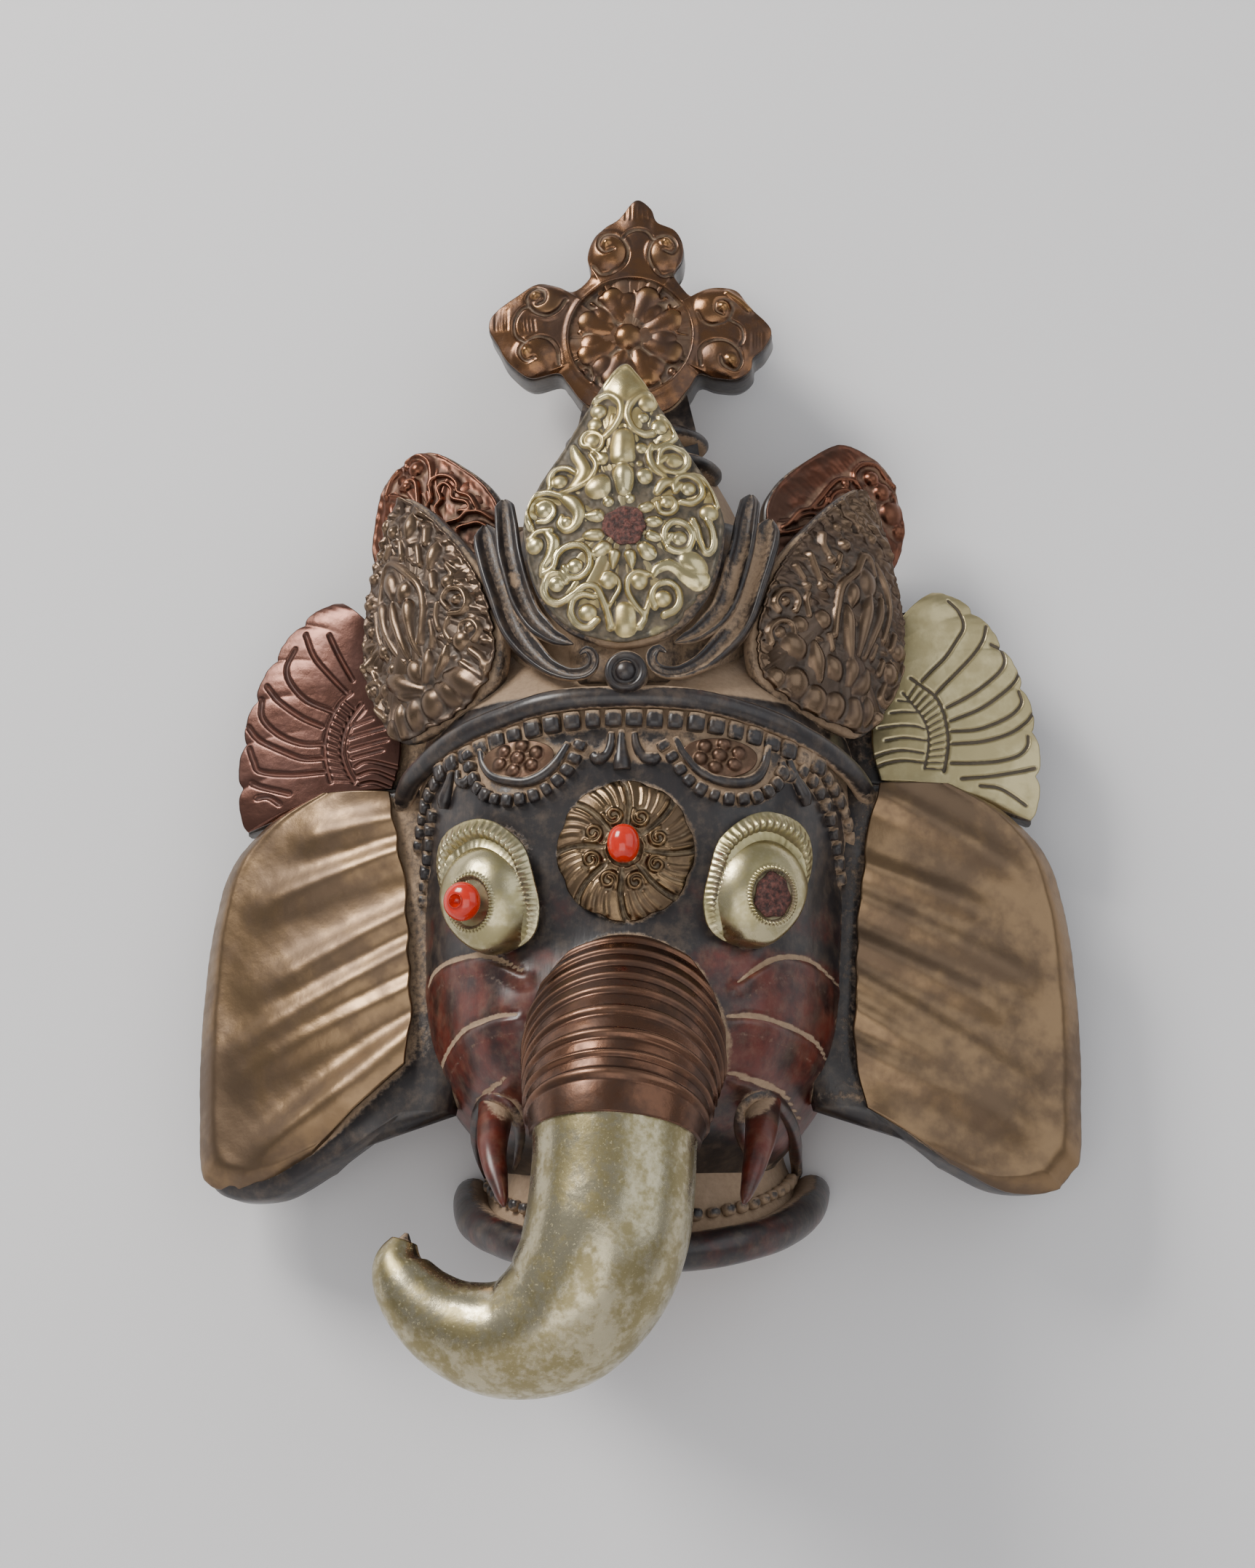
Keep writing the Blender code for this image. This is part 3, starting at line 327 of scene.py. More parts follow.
def put(tree, kind, inputs=None, **settings):
    # one node with its settings; inputs maps a socket to a value or to another node's output
    node = tree.nodes.new(kind)
    for key, value in settings.items():
        setattr(node, key, value)
    for key, value in (inputs or {}).items():
        if isinstance(value, bpy.types.NodeSocket):
            tree.links.new(value, node.inputs[key])
        else:
            node.inputs[key].default_value = value
    return node


def mathNode(tree, operation, a, b=0.5, clamp=False):
    return put(tree, "ShaderNodeMath", {0: a, 1: b}, operation=operation, use_clamp=clamp).outputs[0]


def times(tree, a, b, clamp=False):
    return mathNode(tree, "MULTIPLY", a, b, clamp)


def plus(tree, a, b, clamp=False):
    return mathNode(tree, "ADD", a, b, clamp)


def minus(tree, a, b, clamp=False):
    return mathNode(tree, "SUBTRACT", a, b, clamp)


def between(tree, value, low, high):
    # 0 below low, 1 above high
    return put(tree, "ShaderNodeMapRange", {0: value, 1: low, 2: high},
               interpolation_type="SMOOTHSTEP").outputs[0]


def blend(tree, share, first, second):
    return put(tree, "ShaderNodeMix", {0: share, 6: first, 7: second}, data_type="RGBA").outputs[2]


def startFinish(name):
    made = bpy.data.materials.new(name)
    made.use_nodes = True
    tree = made.node_tree
    shader = tree.nodes["Principled BSDF"]
    place = put(tree, "ShaderNodeTexCoord").outputs["Object"]
    inMm = put(tree, "ShaderNodeVectorMath", {0: place, 1: (1000, 1000, 1000)},
               operation="MULTIPLY").outputs[0]
    return made, tree, shader, inMm


def cloud(tree, place, size, detail=4.0, rough=0.55, stretch=None):
    if stretch:
        place = put(tree, "ShaderNodeVectorMath", {0: place, 1: stretch}, operation="MULTIPLY").outputs[0]
    return put(tree, "ShaderNodeTexNoise", {"Vector": place, "Scale": 1.0 / size, "Detail": detail,
                                            "Roughness": rough}).outputs["Fac"]


def stirred(tree, value, noise, amount):
    # a value made uneven by a noise
    return plus(tree, value, times(tree, minus(tree, noise, 0.5), amount))


def mark(tree, name):
    return put(tree, "ShaderNodeAttribute", attribute_name=name).outputs["Fac"]


# patch is the size of the stains in mm; the From and To values say where stains and grime begin and are full
plainSheet = {"patch": 22.0, "tarnishFrom": 0.36, "tarnishTo": 0.62, "polishAndHighlight": 0.5, "grimeFrom": 0.06,
              "grimeTo": 0.35, "grimeShare": 0.85, "sheltered": 0.6, "speckFrom": 0.7, "speckShare": 0.5,
              "gloss": 0.22, "matt": 0.42, "dents": 0.25, "grain": 0.05, "speck": "#2c2620",
              "dust": "#8a7458"}


def beatenMetal(name, hues, **changes):
    # thin sheet: polished, with a painted highlight, where it stands up, tarnished on its flats, grimy in
    # its hollows, and grimy with painted shade where nearby parts shelter it
    looks = {**plainSheet, **dict(zip(("bright", "dull", "wornAndHighlight", "grimeAndShade"), hues.split())), **changes}
    made, tree, shader, place = startFinish(name)
    hollow, shelter, dusty = mark(tree, "hollow"), mark(tree, "shelter"), mark(tree, "dusty")
    patches = cloud(tree, place, looks["patch"], 5, 0.6)
    smears = cloud(tree, place, looks["patch"] * 0.22, 4, 0.6)
    specks = cloud(tree, place, 0.7, 3, 0.7)
    tarnish = between(tree, stirred(tree, patches, smears, 0.5), looks["tarnishFrom"], looks["tarnishTo"])
    # raised parts take the worn colour: polished wear and a painted highlight
    raisedPolishAndHighlight = between(tree, times(tree, hollow, -1.0), 0.08, 0.5)
    tone = blend(tree, tarnish, colour(looks["bright"]), colour(looks["dull"]))
    tone = blend(tree, times(tree, raisedPolishAndHighlight, looks["polishAndHighlight"]), tone, colour(looks["wornAndHighlight"]))
    low = between(tree, stirred(tree, hollow, smears, 0.25), looks["grimeFrom"], looks["grimeTo"])
    # points sheltered by nearby parts go to grime and dust: real dirt that also stands in as painted shade
    shelteredShadeAndDust = times(tree, between(tree, shelter, 0.55, 0.95), looks["sheltered"])
    grimeAndShade = mathNode(tree, "MAXIMUM", mathNode(tree, "MAXIMUM", low, shelteredShadeAndDust), dusty, True)
    grimeAndShade = times(tree, grimeAndShade, looks["grimeShare"])
    dirtAndShadeTone = blend(tree, between(tree, smears, 0.36, 0.62), colour(looks["grimeAndShade"]), colour(looks["dust"]))
    tone = blend(tree, grimeAndShade, tone, dirtAndShadeTone)
    spotted = times(tree, between(tree, specks, looks["speckFrom"], looks["speckFrom"] + 0.06),
                    looks["speckShare"])
    tone = blend(tree, spotted, tone, colour(looks["speck"]))
    tree.links.new(tone, shader.inputs["Base Color"])
    covered = mathNode(tree, "MAXIMUM", times(tree, grimeAndShade, 0.85), times(tree, spotted, 0.6))
    tree.links.new(minus(tree, 1.0, covered, True), shader.inputs["Metallic"])
    rough = put(tree, "ShaderNodeMapRange", {0: tarnish, 3: looks["gloss"], 4: looks["matt"]}).outputs[0]
    rough = plus(tree, rough, times(tree, covered, 0.35), True)
    tree.links.new(rough, shader.inputs["Roughness"])
    dents = plus(tree, times(tree, cloud(tree, place, 5.0, 2), looks["dents"]),
                 times(tree, cloud(tree, place, 0.6, 4, 0.65), looks["grain"]))
    bump = put(tree, "ShaderNodeBump", {"Height": dents, "Distance": 0.001, "Strength": 0.5}).outputs[0]
    tree.links.new(bump, shader.inputs["Normal"])
    return made


# aged brass: brown lacquer-like tarnish with golden wear, and painted highlight on raised parts
agedBrass = beatenMetal("agedBrass", "#876f54 #6c5a49 #9f8259 #43352a", grimeShare=0.35, patch=30.0,
                        gloss=0.3, matt=0.43, sheltered=0.8)
# red copper of the rear leaves
redCopper = beatenMetal("redCopper", "#70493a #543e35 #805642 #33241e", dust="#8d7059", grimeShare=0.6,
                        gloss=0.28, matt=0.45)
# finial copper: brown, with gold wear and painted highlight on its raised parts
goldenCopper = beatenMetal("goldenCopper", "#815e44 #5d493e #a67f52 #352a24", dust="#6d5a45",
                           grimeShare=0.8, gloss=0.2, matt=0.34, patch=14.0)
# trunk's ringed copper
ringCopper = beatenMetal("ringCopper", "#6c4e3e #534037 #906c56 #2c211c", dust="#5d4638", gloss=0.24,
                         matt=0.4, patch=16.0, grimeTo=0.28)
# glossy brown copper of one fan
brownCopper = beatenMetal("brownCopper", "#66483f #563e38 #74574e #452f2a", dust="#6a4032", grimeShare=0.75,
                          gloss=0.25, matt=0.34, patch=30.0, dents=0.25)
# dull bronze of the crown's side leaves
dullBronze = beatenMetal("dullBronze", "#6a5848 #5a4c42 #86705a #2f2823", dust="#5d5147", grimeShare=0.8,
                         gloss=0.26, matt=0.42, speck="#c99a3c", speckFrom=0.72, speckShare=0.7, patch=14.0)
# white metal, yellowed, black in its ground
paleMetal = beatenMetal("paleMetal", "#ccbd8d #b09d6c #ded3aa #2b2825", dust="#554b3e", grimeShare=0.95,
                        grimeFrom=0.0, grimeTo=0.24, gloss=0.2, matt=0.34, patch=12.0)
# white metal of one fan: matt, with dark cut lines
fanMetal = beatenMetal("fanMetal", "#bdb087 #ab9e76 #c6bb94 #4a4238", dust="#5a5044", grimeShare=0.95,
                       grimeFrom=0.1, grimeTo=0.2, gloss=0.3, matt=0.42, patch=18.0)
# trunk's silvery sleeve: yellow-tan tarnish broken by pale spots
trunkSilver = beatenMetal("trunkSilver", "#b6ad91 #928763 #c6bfa6 #6b5f42", dust="#a69762", grimeShare=0.6,
                          gloss=0.22, matt=0.36, patch=7.0, speck="#c3b88f", speckFrom=0.6, speckShare=0.5,
                          sheltered=0.3)
# rosette brass, grey-brown in its hollows
rosetteBrass = beatenMetal("rosetteBrass", "#78644c #635241 #8a7050 #453c31", dust="#8a7b62",
                           grimeShare=0.75, gloss=0.24, matt=0.4, patch=8.0)


def lacqueredWood():
    # carved wood under old dark lacquer: red-brown where rubbed, blue-black where raised, tan dust below
    made, tree, shader, place = startFinish("lacqueredWood")
    hollow, shelter, dusty, tint = [mark(tree, name) for name in ("hollow", "shelter", "dusty", "tint")]
    mottle = cloud(tree, place, 9.0, 6, 0.62)
    fine = cloud(tree, place, 1.3, 5, 0.65)
    grain = cloud(tree, place, 2.2, 5, 0.6, (1.0, 1.0, 0.12))
    dark = blend(tree, grain, colour("#17181c"), colour("#2c2422"))
    red = blend(tree, between(tree, mottle, 0.35, 0.68), colour("#29100d"), colour("#5c2216"))
    share = between(tree, stirred(tree, tint, mottle, 0.9), 0.3, 0.8)
    tone = blend(tree, share, dark, red)
    rubbed = between(tree, times(tree, hollow, -1.0), 0.12, 0.6)
    tone = blend(tree, times(tree, rubbed, 0.3), tone, colour("#5a4340"))
    low = between(tree, stirred(tree, hollow, fine, 0.3), 0.1, 0.34)
    near = between(tree, stirred(tree, shelter, fine, 0.5), 0.42, 0.7)
    extra = between(tree, stirred(tree, dusty, mottle, 0.8), 0.35, 0.7)
    dust = mathNode(tree, "MAXIMUM", mathNode(tree, "MAXIMUM", low, near), extra, True)
    dust = times(tree, dust, 0.92)
    tan = blend(tree, fine, colour("#846d57"), colour("#b99f83"))
    veil = times(tree, between(tree, cloud(tree, place, 4.0, 6, 0.7), 0.42, 0.7), 0.13)
    tone = blend(tree, mathNode(tree, "MAXIMUM", dust, veil), tone, tan)
    tree.links.new(tone, shader.inputs["Base Color"])
    rough = put(tree, "ShaderNodeMapRange", {0: dust, 3: 0.28, 4: 0.95}).outputs[0]
    rough = plus(tree, rough, times(tree, fine, 0.14), True)
    tree.links.new(rough, shader.inputs["Roughness"])
    shader.inputs["Coat Weight"].default_value = 0.12
    shader.inputs["Coat Roughness"].default_value = 0.22
    heights = plus(tree, times(tree, grain, 0.12), times(tree, times(tree, fine, dust), 0.5))
    bump = put(tree, "ShaderNodeBump", {"Height": heights, "Distance": 0.001, "Strength": 0.6}).outputs[0]
    tree.links.new(bump, shader.inputs["Normal"])
    return made


def polishedCoral():
    made, tree, shader, place = startFinish("polishedCoral")
    veins = cloud(tree, place, 1.6, 3)
    tone = blend(tree, veins, colour("#b61200"), colour("#df2e0a"))
    tree.links.new(tone, shader.inputs["Base Color"])
    shader.inputs["Roughness"].default_value = 0.18
    shader.inputs["Subsurface Weight"].default_value = 0.12
    shader.inputs["Subsurface Radius"].default_value = (0.002, 0.0007, 0.0004)
    shader.inputs["Coat Weight"].default_value = 0.4
    return made


def dryResidue():
    made, tree, shader, place = startFinish("dryResidue")
    lumps = cloud(tree, place, 1.1, 5, 0.6)
    tone = blend(tree, between(tree, lumps, 0.35, 0.7), colour("#35201c"), colour("#75453c"))
    tree.links.new(tone, shader.inputs["Base Color"])
    shader.inputs["Roughness"].default_value = 0.62
    bump = put(tree, "ShaderNodeBump", {"Height": lumps, "Distance": 0.001, "Strength": 0.9}).outputs[0]
    tree.links.new(bump, shader.inputs["Normal"])
    return made


oldWood = lacqueredWood()
coralRed = polishedCoral()
residueBrown = dryResidue()
print("finishes made")


# the head's face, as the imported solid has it

headTable = [  # z, half width, reach, fullness
    (-121, 30, 44, 2.3), (-113, 38, 60, 2.4), (-102, 46.5, 68, 2.6), (-88, 52.8, 71, 2.6),
    (-70, 54.5, 72, 2.6), (-50, 55, 73, 2.6), (-30, 56, 74.5, 2.7), (-14, 54, 74, 2.7), (-6, 51, 69, 2.7),
    (4, 46, 60, 2.7), (16, 41, 53, 2.7), (34, 34, 46, 2.6), (52, 25, 37, 2.4), (70, 16, 25, 2.3),
    (78, 11, 21, 2.2)]
faceSwells = [  # x, z, spread across, spread up, rise
    (33, -93, 16, 17, 6.5), (31, -38, 14, 7, 1.5), (0, -84, 17, 15, 5.0), (31, -60, 16, 17, 3.0)]


def faceDepth(x, z):
    x, z = np.asarray(x, float), np.asarray(z, float)
    profile = easedTable(headTable, z)
    half, reach, fullness = profile[..., 0], profile[..., 1], profile[..., 2]
    across = np.minimum(np.abs(x) / half, 1.0)
    depth = reach * (1 - across ** fullness) ** (1 / fullness)
    rise = sum(amount * bell(np.abs(x), cx, width) * bell(z, cz, height)
               for cx, cz, width, height, amount in faceSwells)
    return depth + rise * (1 - across ** 6)


def onFace(x, z, lift=0.0):
    return at(x, faceDepth(x, z) + lift, z)


headSizes = {"rows": 190, "columns": 168, "wrinkleWidth": 1.0, "wrinkleDepth": 1.5}
wrinkles = [  # x, z along each fold of the cheeks
    [(-49, -75), (-46.5, -72.4), (-38.3, -72), (-30.9, -74), (-23.5, -78.4)],
    [(-46.5, -96.5), (-44.8, -93.6), (-38, -89.7), (-30.6, -88.6), (-25, -88.4)],
    [(-38, -108.5), (-36.5, -106), (-33.7, -104), (-28.3, -102)],
    [(26.8, -81), (31.8, -76.5), (36.4, -73.9), (42.9, -72.7), (49.5, -75.5)],
    [(23.8, -89.7), (29.8, -89.1), (38.2, -90), (44, -91.3), (47, -95.5)],
    [(23.6, -101.7), (29.4, -102.8), (35.9, -103.9), (39.5, -107)]]


def cheekRelief():
    relief = blankRelief(-60, 60, -124, 20, 0.3)
    for fold in wrinkles:
        wide = headSizes["wrinkleWidth"]
        beat(relief, [(x, z, wide * (0.6 if k in (0, len(fold) - 1) else 1.0))
                      for k, (x, z) in enumerate(fold)], headSizes["wrinkleDepth"], "cut", 1.0)
        # the fold's lip stands a little proud just under the groove
        beat(relief, [(x, z - 1.6, 2.9) for x, z in fold], 0.95, "up", 1.4)
    return relief


def addHead(shape):
    relief = cheekRelief()
    zs = np.concatenate([np.linspace(-121, -8, int(headSizes["rows"] * 0.72), endpoint=False),
                         np.linspace(-8, 78, int(headSizes["rows"] * 0.28))])
    profile = easedTable(headTable, zs)
    turns = math.pi * (np.arange(headSizes["columns"] + 1) / headSizes["columns"] - 0.5)
    x = profile[:, :1] * np.sign(np.sin(turns)) * np.abs(np.sin(turns)) ** (2 / profile[:, 2:3])
    z = np.repeat(zs[:, None], len(turns), 1)
    depth = faceDepth(x, z)
    rise, hollow = readRelief(relief, x, z)
    front = np.clip(np.cos(turns), 0, 1) ** 0.3
    # the jaw draws in towards the wall
    low = np.clip((-74 - z) / 22, 0, 1) * np.clip(1 - depth / 36, 0, 1) ** 2
    x = x * (1 - 0.22 * low)
    depth = depth + rise * front + 0.35 * rippled(x, z, depth, 7.0, 3) * front
    cheeks = np.clip((-68 - z) / 8, 0, 1) * (1 - 0.75 * bell(x, 0, 21)) * np.clip((z + 118) / 8, 0.2, 1)
    brow = 0.42 * bell(z, -64, 9) * np.clip(np.abs(x) / 12, 0.5, 1)
    cap = np.clip((z + 12.5) / 2.5, 0, 1) * np.clip((60 - np.abs(x)) / 8, 0, 1)
    addLoft(shape, at(x, depth, z), tint=np.maximum(cheeks, brow), dusty=cap * 0.85,
            hollow=hollow * 0.9 * front + 0 * z)


# what is carved round the trunk and the mouth

trunkPath = [  # x, depth, z, radius
    (0.5, 40, -80, 25.5), (0.3, 60, -90, 24.5), (-0.4, 75, -103, 22.6), (-1.0, 81.5, -114, 20.8),
    (-1.4, 83.5, -121, 19.3), (-1.9, 84, -131, 19.3), (-3.3, 84.5, -142, 19.4), (-7, 84, -152.3, 18.7),
    (-15, 82, -161.2, 17.1), (-26.5, 80, -165, 14.2), (-38, 79, -162.3, 11.6), (-46.5, 78.5, -156, 9.4),
    (-51, 78, -148, 7.0), (-49.5, 78, -140.5, 2.4)]


def addTrunkCore(shape):
    stations = runThrough(trunkPath, 130)
    path = at(*stations[:, :3].T)
    side, front = framesAlong(path)
    turns = fullTurn(56)
    along = np.arange(len(path))[:, None]
    # the bare wood at the back of the curl is fibrous
    fibres = (0.28 * np.sin(turns[None] * 19 + 0.6 * np.sin(along * 0.11))
              + 0.2 * np.sin(turns[None] * 31 + along * 0.05))
    radii = (stations[:, 3:4] - 2.1 + fibres * np.clip(-np.cos(turns[None]) + 0.3, 0, 1)) * mm
    ahead, aside = (np.cos(turns) * radii)[..., None], (np.sin(turns) * radii)[..., None]
    loops = path[:, None] + front[:, None] * ahead + side[:, None] * aside
    addLoft(shape, loops, tint=0.12, dusty=0.0, hollow=-fibres * 0.6)


tuskSizes = {"root": (31.5, 52, -106), "middle": (30.8, 67.5, -119.5), "tip": (27.5, 75, -134),
             "radii": [4.2, 4.0, 3.5, 2.6, 1.0]}


def addTusk(shape, side):
    keys = [(side * x, d, z) for x, d, z in (tuskSizes["root"], tuskSizes["middle"], tuskSizes["tip"])]
    path = at(*runThrough(keys, 40).T)
    radii = np.interp(np.linspace(0, 1, 40), np.linspace(0, 1, 5), tuskSizes["radii"])
    radii[-4:] = radii[-5] * np.array([0.9, 0.75, 0.5, 0.2])
    addRoll(shape, path, radii * mm, 28, 0.9, tint=0.95,
            dusty=np.repeat(np.linspace(0.3, 0, 40)[:, None], 28, 1))
    # the sheath that it grows out of
    turns = np.linspace(math.radians(-60), math.radians(240), 34)
    rim = [(side * (32 + 6.2 * math.cos(t)), 0, -111.5 + 6.6 * math.sin(t)) for t in turns]
    x, z = np.array([p[0] for p in rim]), np.array([p[2] for p in rim])
    addRoll(shape, onFace(x, z, -0.6),
            np.interp(np.linspace(0, 1, 34), [0, 0.2, 0.8, 1], [0.5, 1.7, 1.7, 0.5]) * mm, 12, 0.9,
            tint=0.45)


def halfRound(z, fall, half, reach, count=60, fullness=2.3):
    turns = math.pi * (np.arange(count + 1) / count - 0.5)
    x = half * np.sign(np.sin(turns)) * np.abs(np.sin(turns)) ** (2 / fullness)
    depth = reach * np.abs(np.cos(turns)) ** (2 / fullness)
    return x, depth, z - fall * depth


neckTable = [(-98, 0.10, 39, 46), (-107, 0.25, 34.5, 44), (-114.5, 0.38, 36.5, 46), (-119.5, 0.45, 40.5, 50)]
collarSizes = {"z": -118.5, "fall": 0.45, "half": 41.5, "reach": 51, "radius": 4.6,
               "stud": (4.4, 2.6, 2.6, 2.8, 0.8), "studRow": (-112.8, 0.41, 37.4, 47.2)}


def addNeck(shape):
    loops = [halfRound(z, *easedTable(neckTable, z)) for z in np.linspace(-98, -119.5, 26)]
    loops = np.stack([at(*loop) for loop in loops])
    dusty = np.repeat(np.clip(0.5 + np.linspace(0, 1, 26), 0, 0.85)[:, None], 61, 1)
    addLoft(shape, loops, tint=0.15, dusty=dusty)
    path = at(*halfRound(collarSizes["z"], collarSizes["fall"], collarSizes["half"], collarSizes["reach"],
                         120))
    addRoll(shape, path, collarSizes["radius"] * mm, 20, 1.0, tint=0.4)


def collarStuds():
    x, depth, z = halfRound(*collarSizes["studRow"], 140)
    return at(x, depth, z)[8:-8]


# the band over the forehead

bandPath = [(0, 77, -12.6), (18, 75.5, -13.6), (36, 66, -17.0), (49, 52.5, -21.5), (55.5, 40, -26),
            (57.5, 28, -33), (56.5, 12, -42)]
# each bead's pitch, size out, across and along, and roundness
bandSizes = {"radius": 2.7, "bead": (4.75, 3.6, 3.9, 3.9, 0.35), "swagBead": (3.3, 3.0, 3.0, 2.6, 0.5),
             "templeBead": (3.5, 3.2, 3.2, 2.8, 0.4)}


def alongBand(count, drop=0.0, lift=0.0):
    keys = [(-x, depth, z) for x, depth, z in bandPath[:0:-1]] + bandPath
    x, depth, z = runThrough(keys, count).T
    return x, depth + lift, z - drop


def addBand(shape):
    x, depth, z = alongBand(150, 0.4, -0.6)
    thin = np.interp(np.abs(np.linspace(-1, 1, 150)), [0, 0.6, 1], [1.0, 1.0, 0.8])
    addRoll(shape, at(x, depth, z), bandSizes["radius"] * thin * mm, 18, 0.9, tint=0.3 * bell(x, 10, 30))


swags = [  # x, z of the beaded swags under the band
    [(-37.5, -23.5), (-36.8, -27.5), (-35.3, -31.8), (-31.9, -35.3), (-28.3, -36.5), (-24.8, -36.7),
     (-21.4, -36.2), (-18.4, -35), (-16.2, -33.4), (-13.7, -31), (-11.8, -28), (-10.4, -24.5)],
    [(9.4, -24.7), (11, -27), (12.5, -29.3), (13.9, -31.6), (15.8, -33.7), (18.2, -35.4), (20.9, -36.5),
     (24.2, -37.4), (27.5, -37.3), (30.5, -36.6), (33, -35), (35.2, -33), (36.8, -29.5)]]
templeRows = [  # x, z
    [(-42.5, -24.5), (-46.8, -28), (-49.8, -33), (-51.6, -39), (-52.6, -45), (-53, -50)],
    [(-47.2, -35), (-48.2, -39.5), (-48.9, -44), (-50, -49), (-50.4, -53)],
    [(43.5, -24), (47.2, -27.5), (50.4, -32.5), (52, -38), (52.6, -43), (52.9, -47.5)],
    [(41.5, -27.5), (45, -31), (47.4, -35.5), (48.4, -40), (49.4, -45), (50, -49.5)]]
mouldings = [  # height of the ridge, then x, z, half width
    (1.5, [(-34.6, -22.8, 0.9), (-33.9, -26.5, 1.1), (-31.6, -29.8, 1.2), (-28.2, -31.6, 1.3),
           (-23.4, -32.6, 1.3), (-19.3, -31.4, 1.5), (-16, -28.4, 1.4), (-13.2, -23.6, 0.8)]),
    (1.5, [(12.2, -22.6, 0.8), (14.2, -26.8, 1.1), (17.8, -30.7, 1.3), (22.2, -32.8, 1.3),
           (26.6, -33.2, 1.4), (30.6, -31.8, 1.5), (32.8, -28.4, 1.2), (33.8, -23.2, 0.9)]),
    (1.8, [(-0.5, -21.0, 0.8), (-0.5, -25, 1.3), (-0.4, -28.6, 2.1), (-0.3, -30.6, 2.0)]),
    (1.5, [(-2.9, -21.5, 0.8), (-3.1, -24.6, 1.1), (-4.2, -27.0, 1.2), (-6.1, -27.7, 1.8),
           (-7.4, -26.6, 1.1)]),
    (1.5, [(2.5, -21.5, 0.8), (3.1, -24.8, 1.1), (4.6, -27.3, 1.3), (6.9, -28.0, 1.7), (8.4, -27.2, 1.1)]),
    (1.5, [(-42.0, -24.8, 0.8), (-42.6, -28.5, 1.2), (-43.8, -32.5, 1.9), (-44.2, -34.5, 1.2)]),
    (1.4, [(-40.4, -26.6, 0.8), (-40.2, -29.2, 1.0), (-38.6, -30.2, 1.4), (-37.4, -28.8, 0.9)]),
    (1.5, [(38.6, -25.5, 0.8), (39.8, -29.4, 1.2), (41.8, -33.5, 1.9), (42.6, -35.6, 1.1)]),
    (1.4, [(36.8, -26.4, 0.8), (37.6, -28.8, 1.3), (38.8, -29.6, 1.5), (40.2, -28.2, 0.8)])]


def addMouldings(shape):
    for rise, keys in mouldings:
        x, z, wide = runThrough(keys, 34).T
        addRoll(shape, onFace(x, z, rise * 0.35), wide * mm, 12, 1.0, tint=0.15)


# beads along a path, made by one tree of nodes

def startTree(name, start, result, **sizes):
    # a tree of nodes from one geometry to another, with its sizes and its finish as named inputs
    tree = bpy.data.node_groups.new(name, "GeometryNodeTree")
    face = tree.interface
    face.new_socket(start, in_out="INPUT", socket_type="NodeSocketGeometry")
    for size, value in sizes.items():
        face.new_socket(size, in_out="INPUT", socket_type="NodeSocketFloat").default_value = value
    face.new_socket("Finish", in_out="INPUT", socket_type="NodeSocketMaterial")
    face.new_socket(result, in_out="OUTPUT", socket_type="NodeSocketGeometry")
    return tree, put(tree, "NodeGroupInput").outputs


def endTree(tree, made, given):
    made = put(tree, "GeometryNodeRealizeInstances", {"Geometry": made}).outputs[0]
    made = put(tree, "GeometryNodeSetMaterial", {"Geometry": made, "Material": given["Finish"]}).outputs[0]
    put(tree, "NodeGroupOutput", {0: made})
    return tree


def beadRowTree():
    tree, given = startTree("beadRow", "Path", "Beads", Pitch=0.005, Out=0.004, Across=0.004, Along=0.004,
                            Roundness=0.5)
    line = put(tree, "GeometryNodeMeshToCurve", {"Mesh": given["Path"]}).outputs["Curve"]
    line = put(tree, "GeometryNodeSetCurveNormal", {"Curve": line}, mode="Z_UP").outputs["Curve"]
    spots = put(tree, "GeometryNodeCurveToPoints", {"Curve": line, "Length": given["Pitch"]},
                mode="LENGTH").outputs
    cube = put(tree, "GeometryNodeMeshCube",
               {"Size": (1, 1, 1), "Vertices X": 4, "Vertices Y": 4, "Vertices Z": 4})
    spot = put(tree, "GeometryNodeInputPosition").outputs[0]
    ball = put(tree, "ShaderNodeVectorMath", {0: spot}, operation="NORMALIZE").outputs[0]
    ball = put(tree, "ShaderNodeVectorMath", {0: ball, "Scale": 0.6}, operation="SCALE").outputs[0]
    soft = put(tree, "ShaderNodeMix", {0: given["Roundness"], 4: spot, 5: ball},
               data_type="VECTOR").outputs[1]
    bead = put(tree, "GeometryNodeSetPosition",
               {"Geometry": cube.outputs["Mesh"], "Position": soft}).outputs[0]
    size = put(tree, "ShaderNodeCombineXYZ",
               {0: given["Out"], 1: given["Across"], 2: given["Along"]}).outputs[0]
    vary = put(tree, "FunctionNodeRandomValue",
               {"Min": (0.88, 0.88, 0.88), "Max": (1.1, 1.1, 1.1), "Seed": 5},
               data_type="FLOAT_VECTOR").outputs[0]
    size = put(tree, "ShaderNodeVectorMath", {0: size, 1: vary}, operation="MULTIPLY").outputs[0]
    row = put(tree, "GeometryNodeInstanceOnPoints", {"Points": spots["Points"], "Instance": bead,
                                                    "Rotation": spots["Rotation"], "Scale": size}).outputs[0]
    return endTree(tree, row, given)


beadRow = beadRowTree()


def grown(tree, mesh, finish, **sizes):
    # runs a tree of nodes on a mesh and gives the plain mesh that comes out
    holder = bpy.data.objects.new("holder", mesh)
    bpy.context.scene.collection.objects.link(holder)
    maker = holder.modifiers.new("maker", "NODES")
    maker.node_group = tree
    for socket in tree.interface.items_tree:
        if socket.in_out == "INPUT" and socket.name in sizes:
            maker[socket.identifier] = sizes[socket.name]
        elif socket.in_out == "INPUT" and socket.name == "Finish":
            maker[socket.identifier] = finish
    plain = bpy.data.meshes.new_from_object(holder.evaluated_get(bpy.context.evaluated_depsgraph_get()))
    holder.modifiers.remove(maker)
    bpy.data.objects.remove(holder)
    return plain


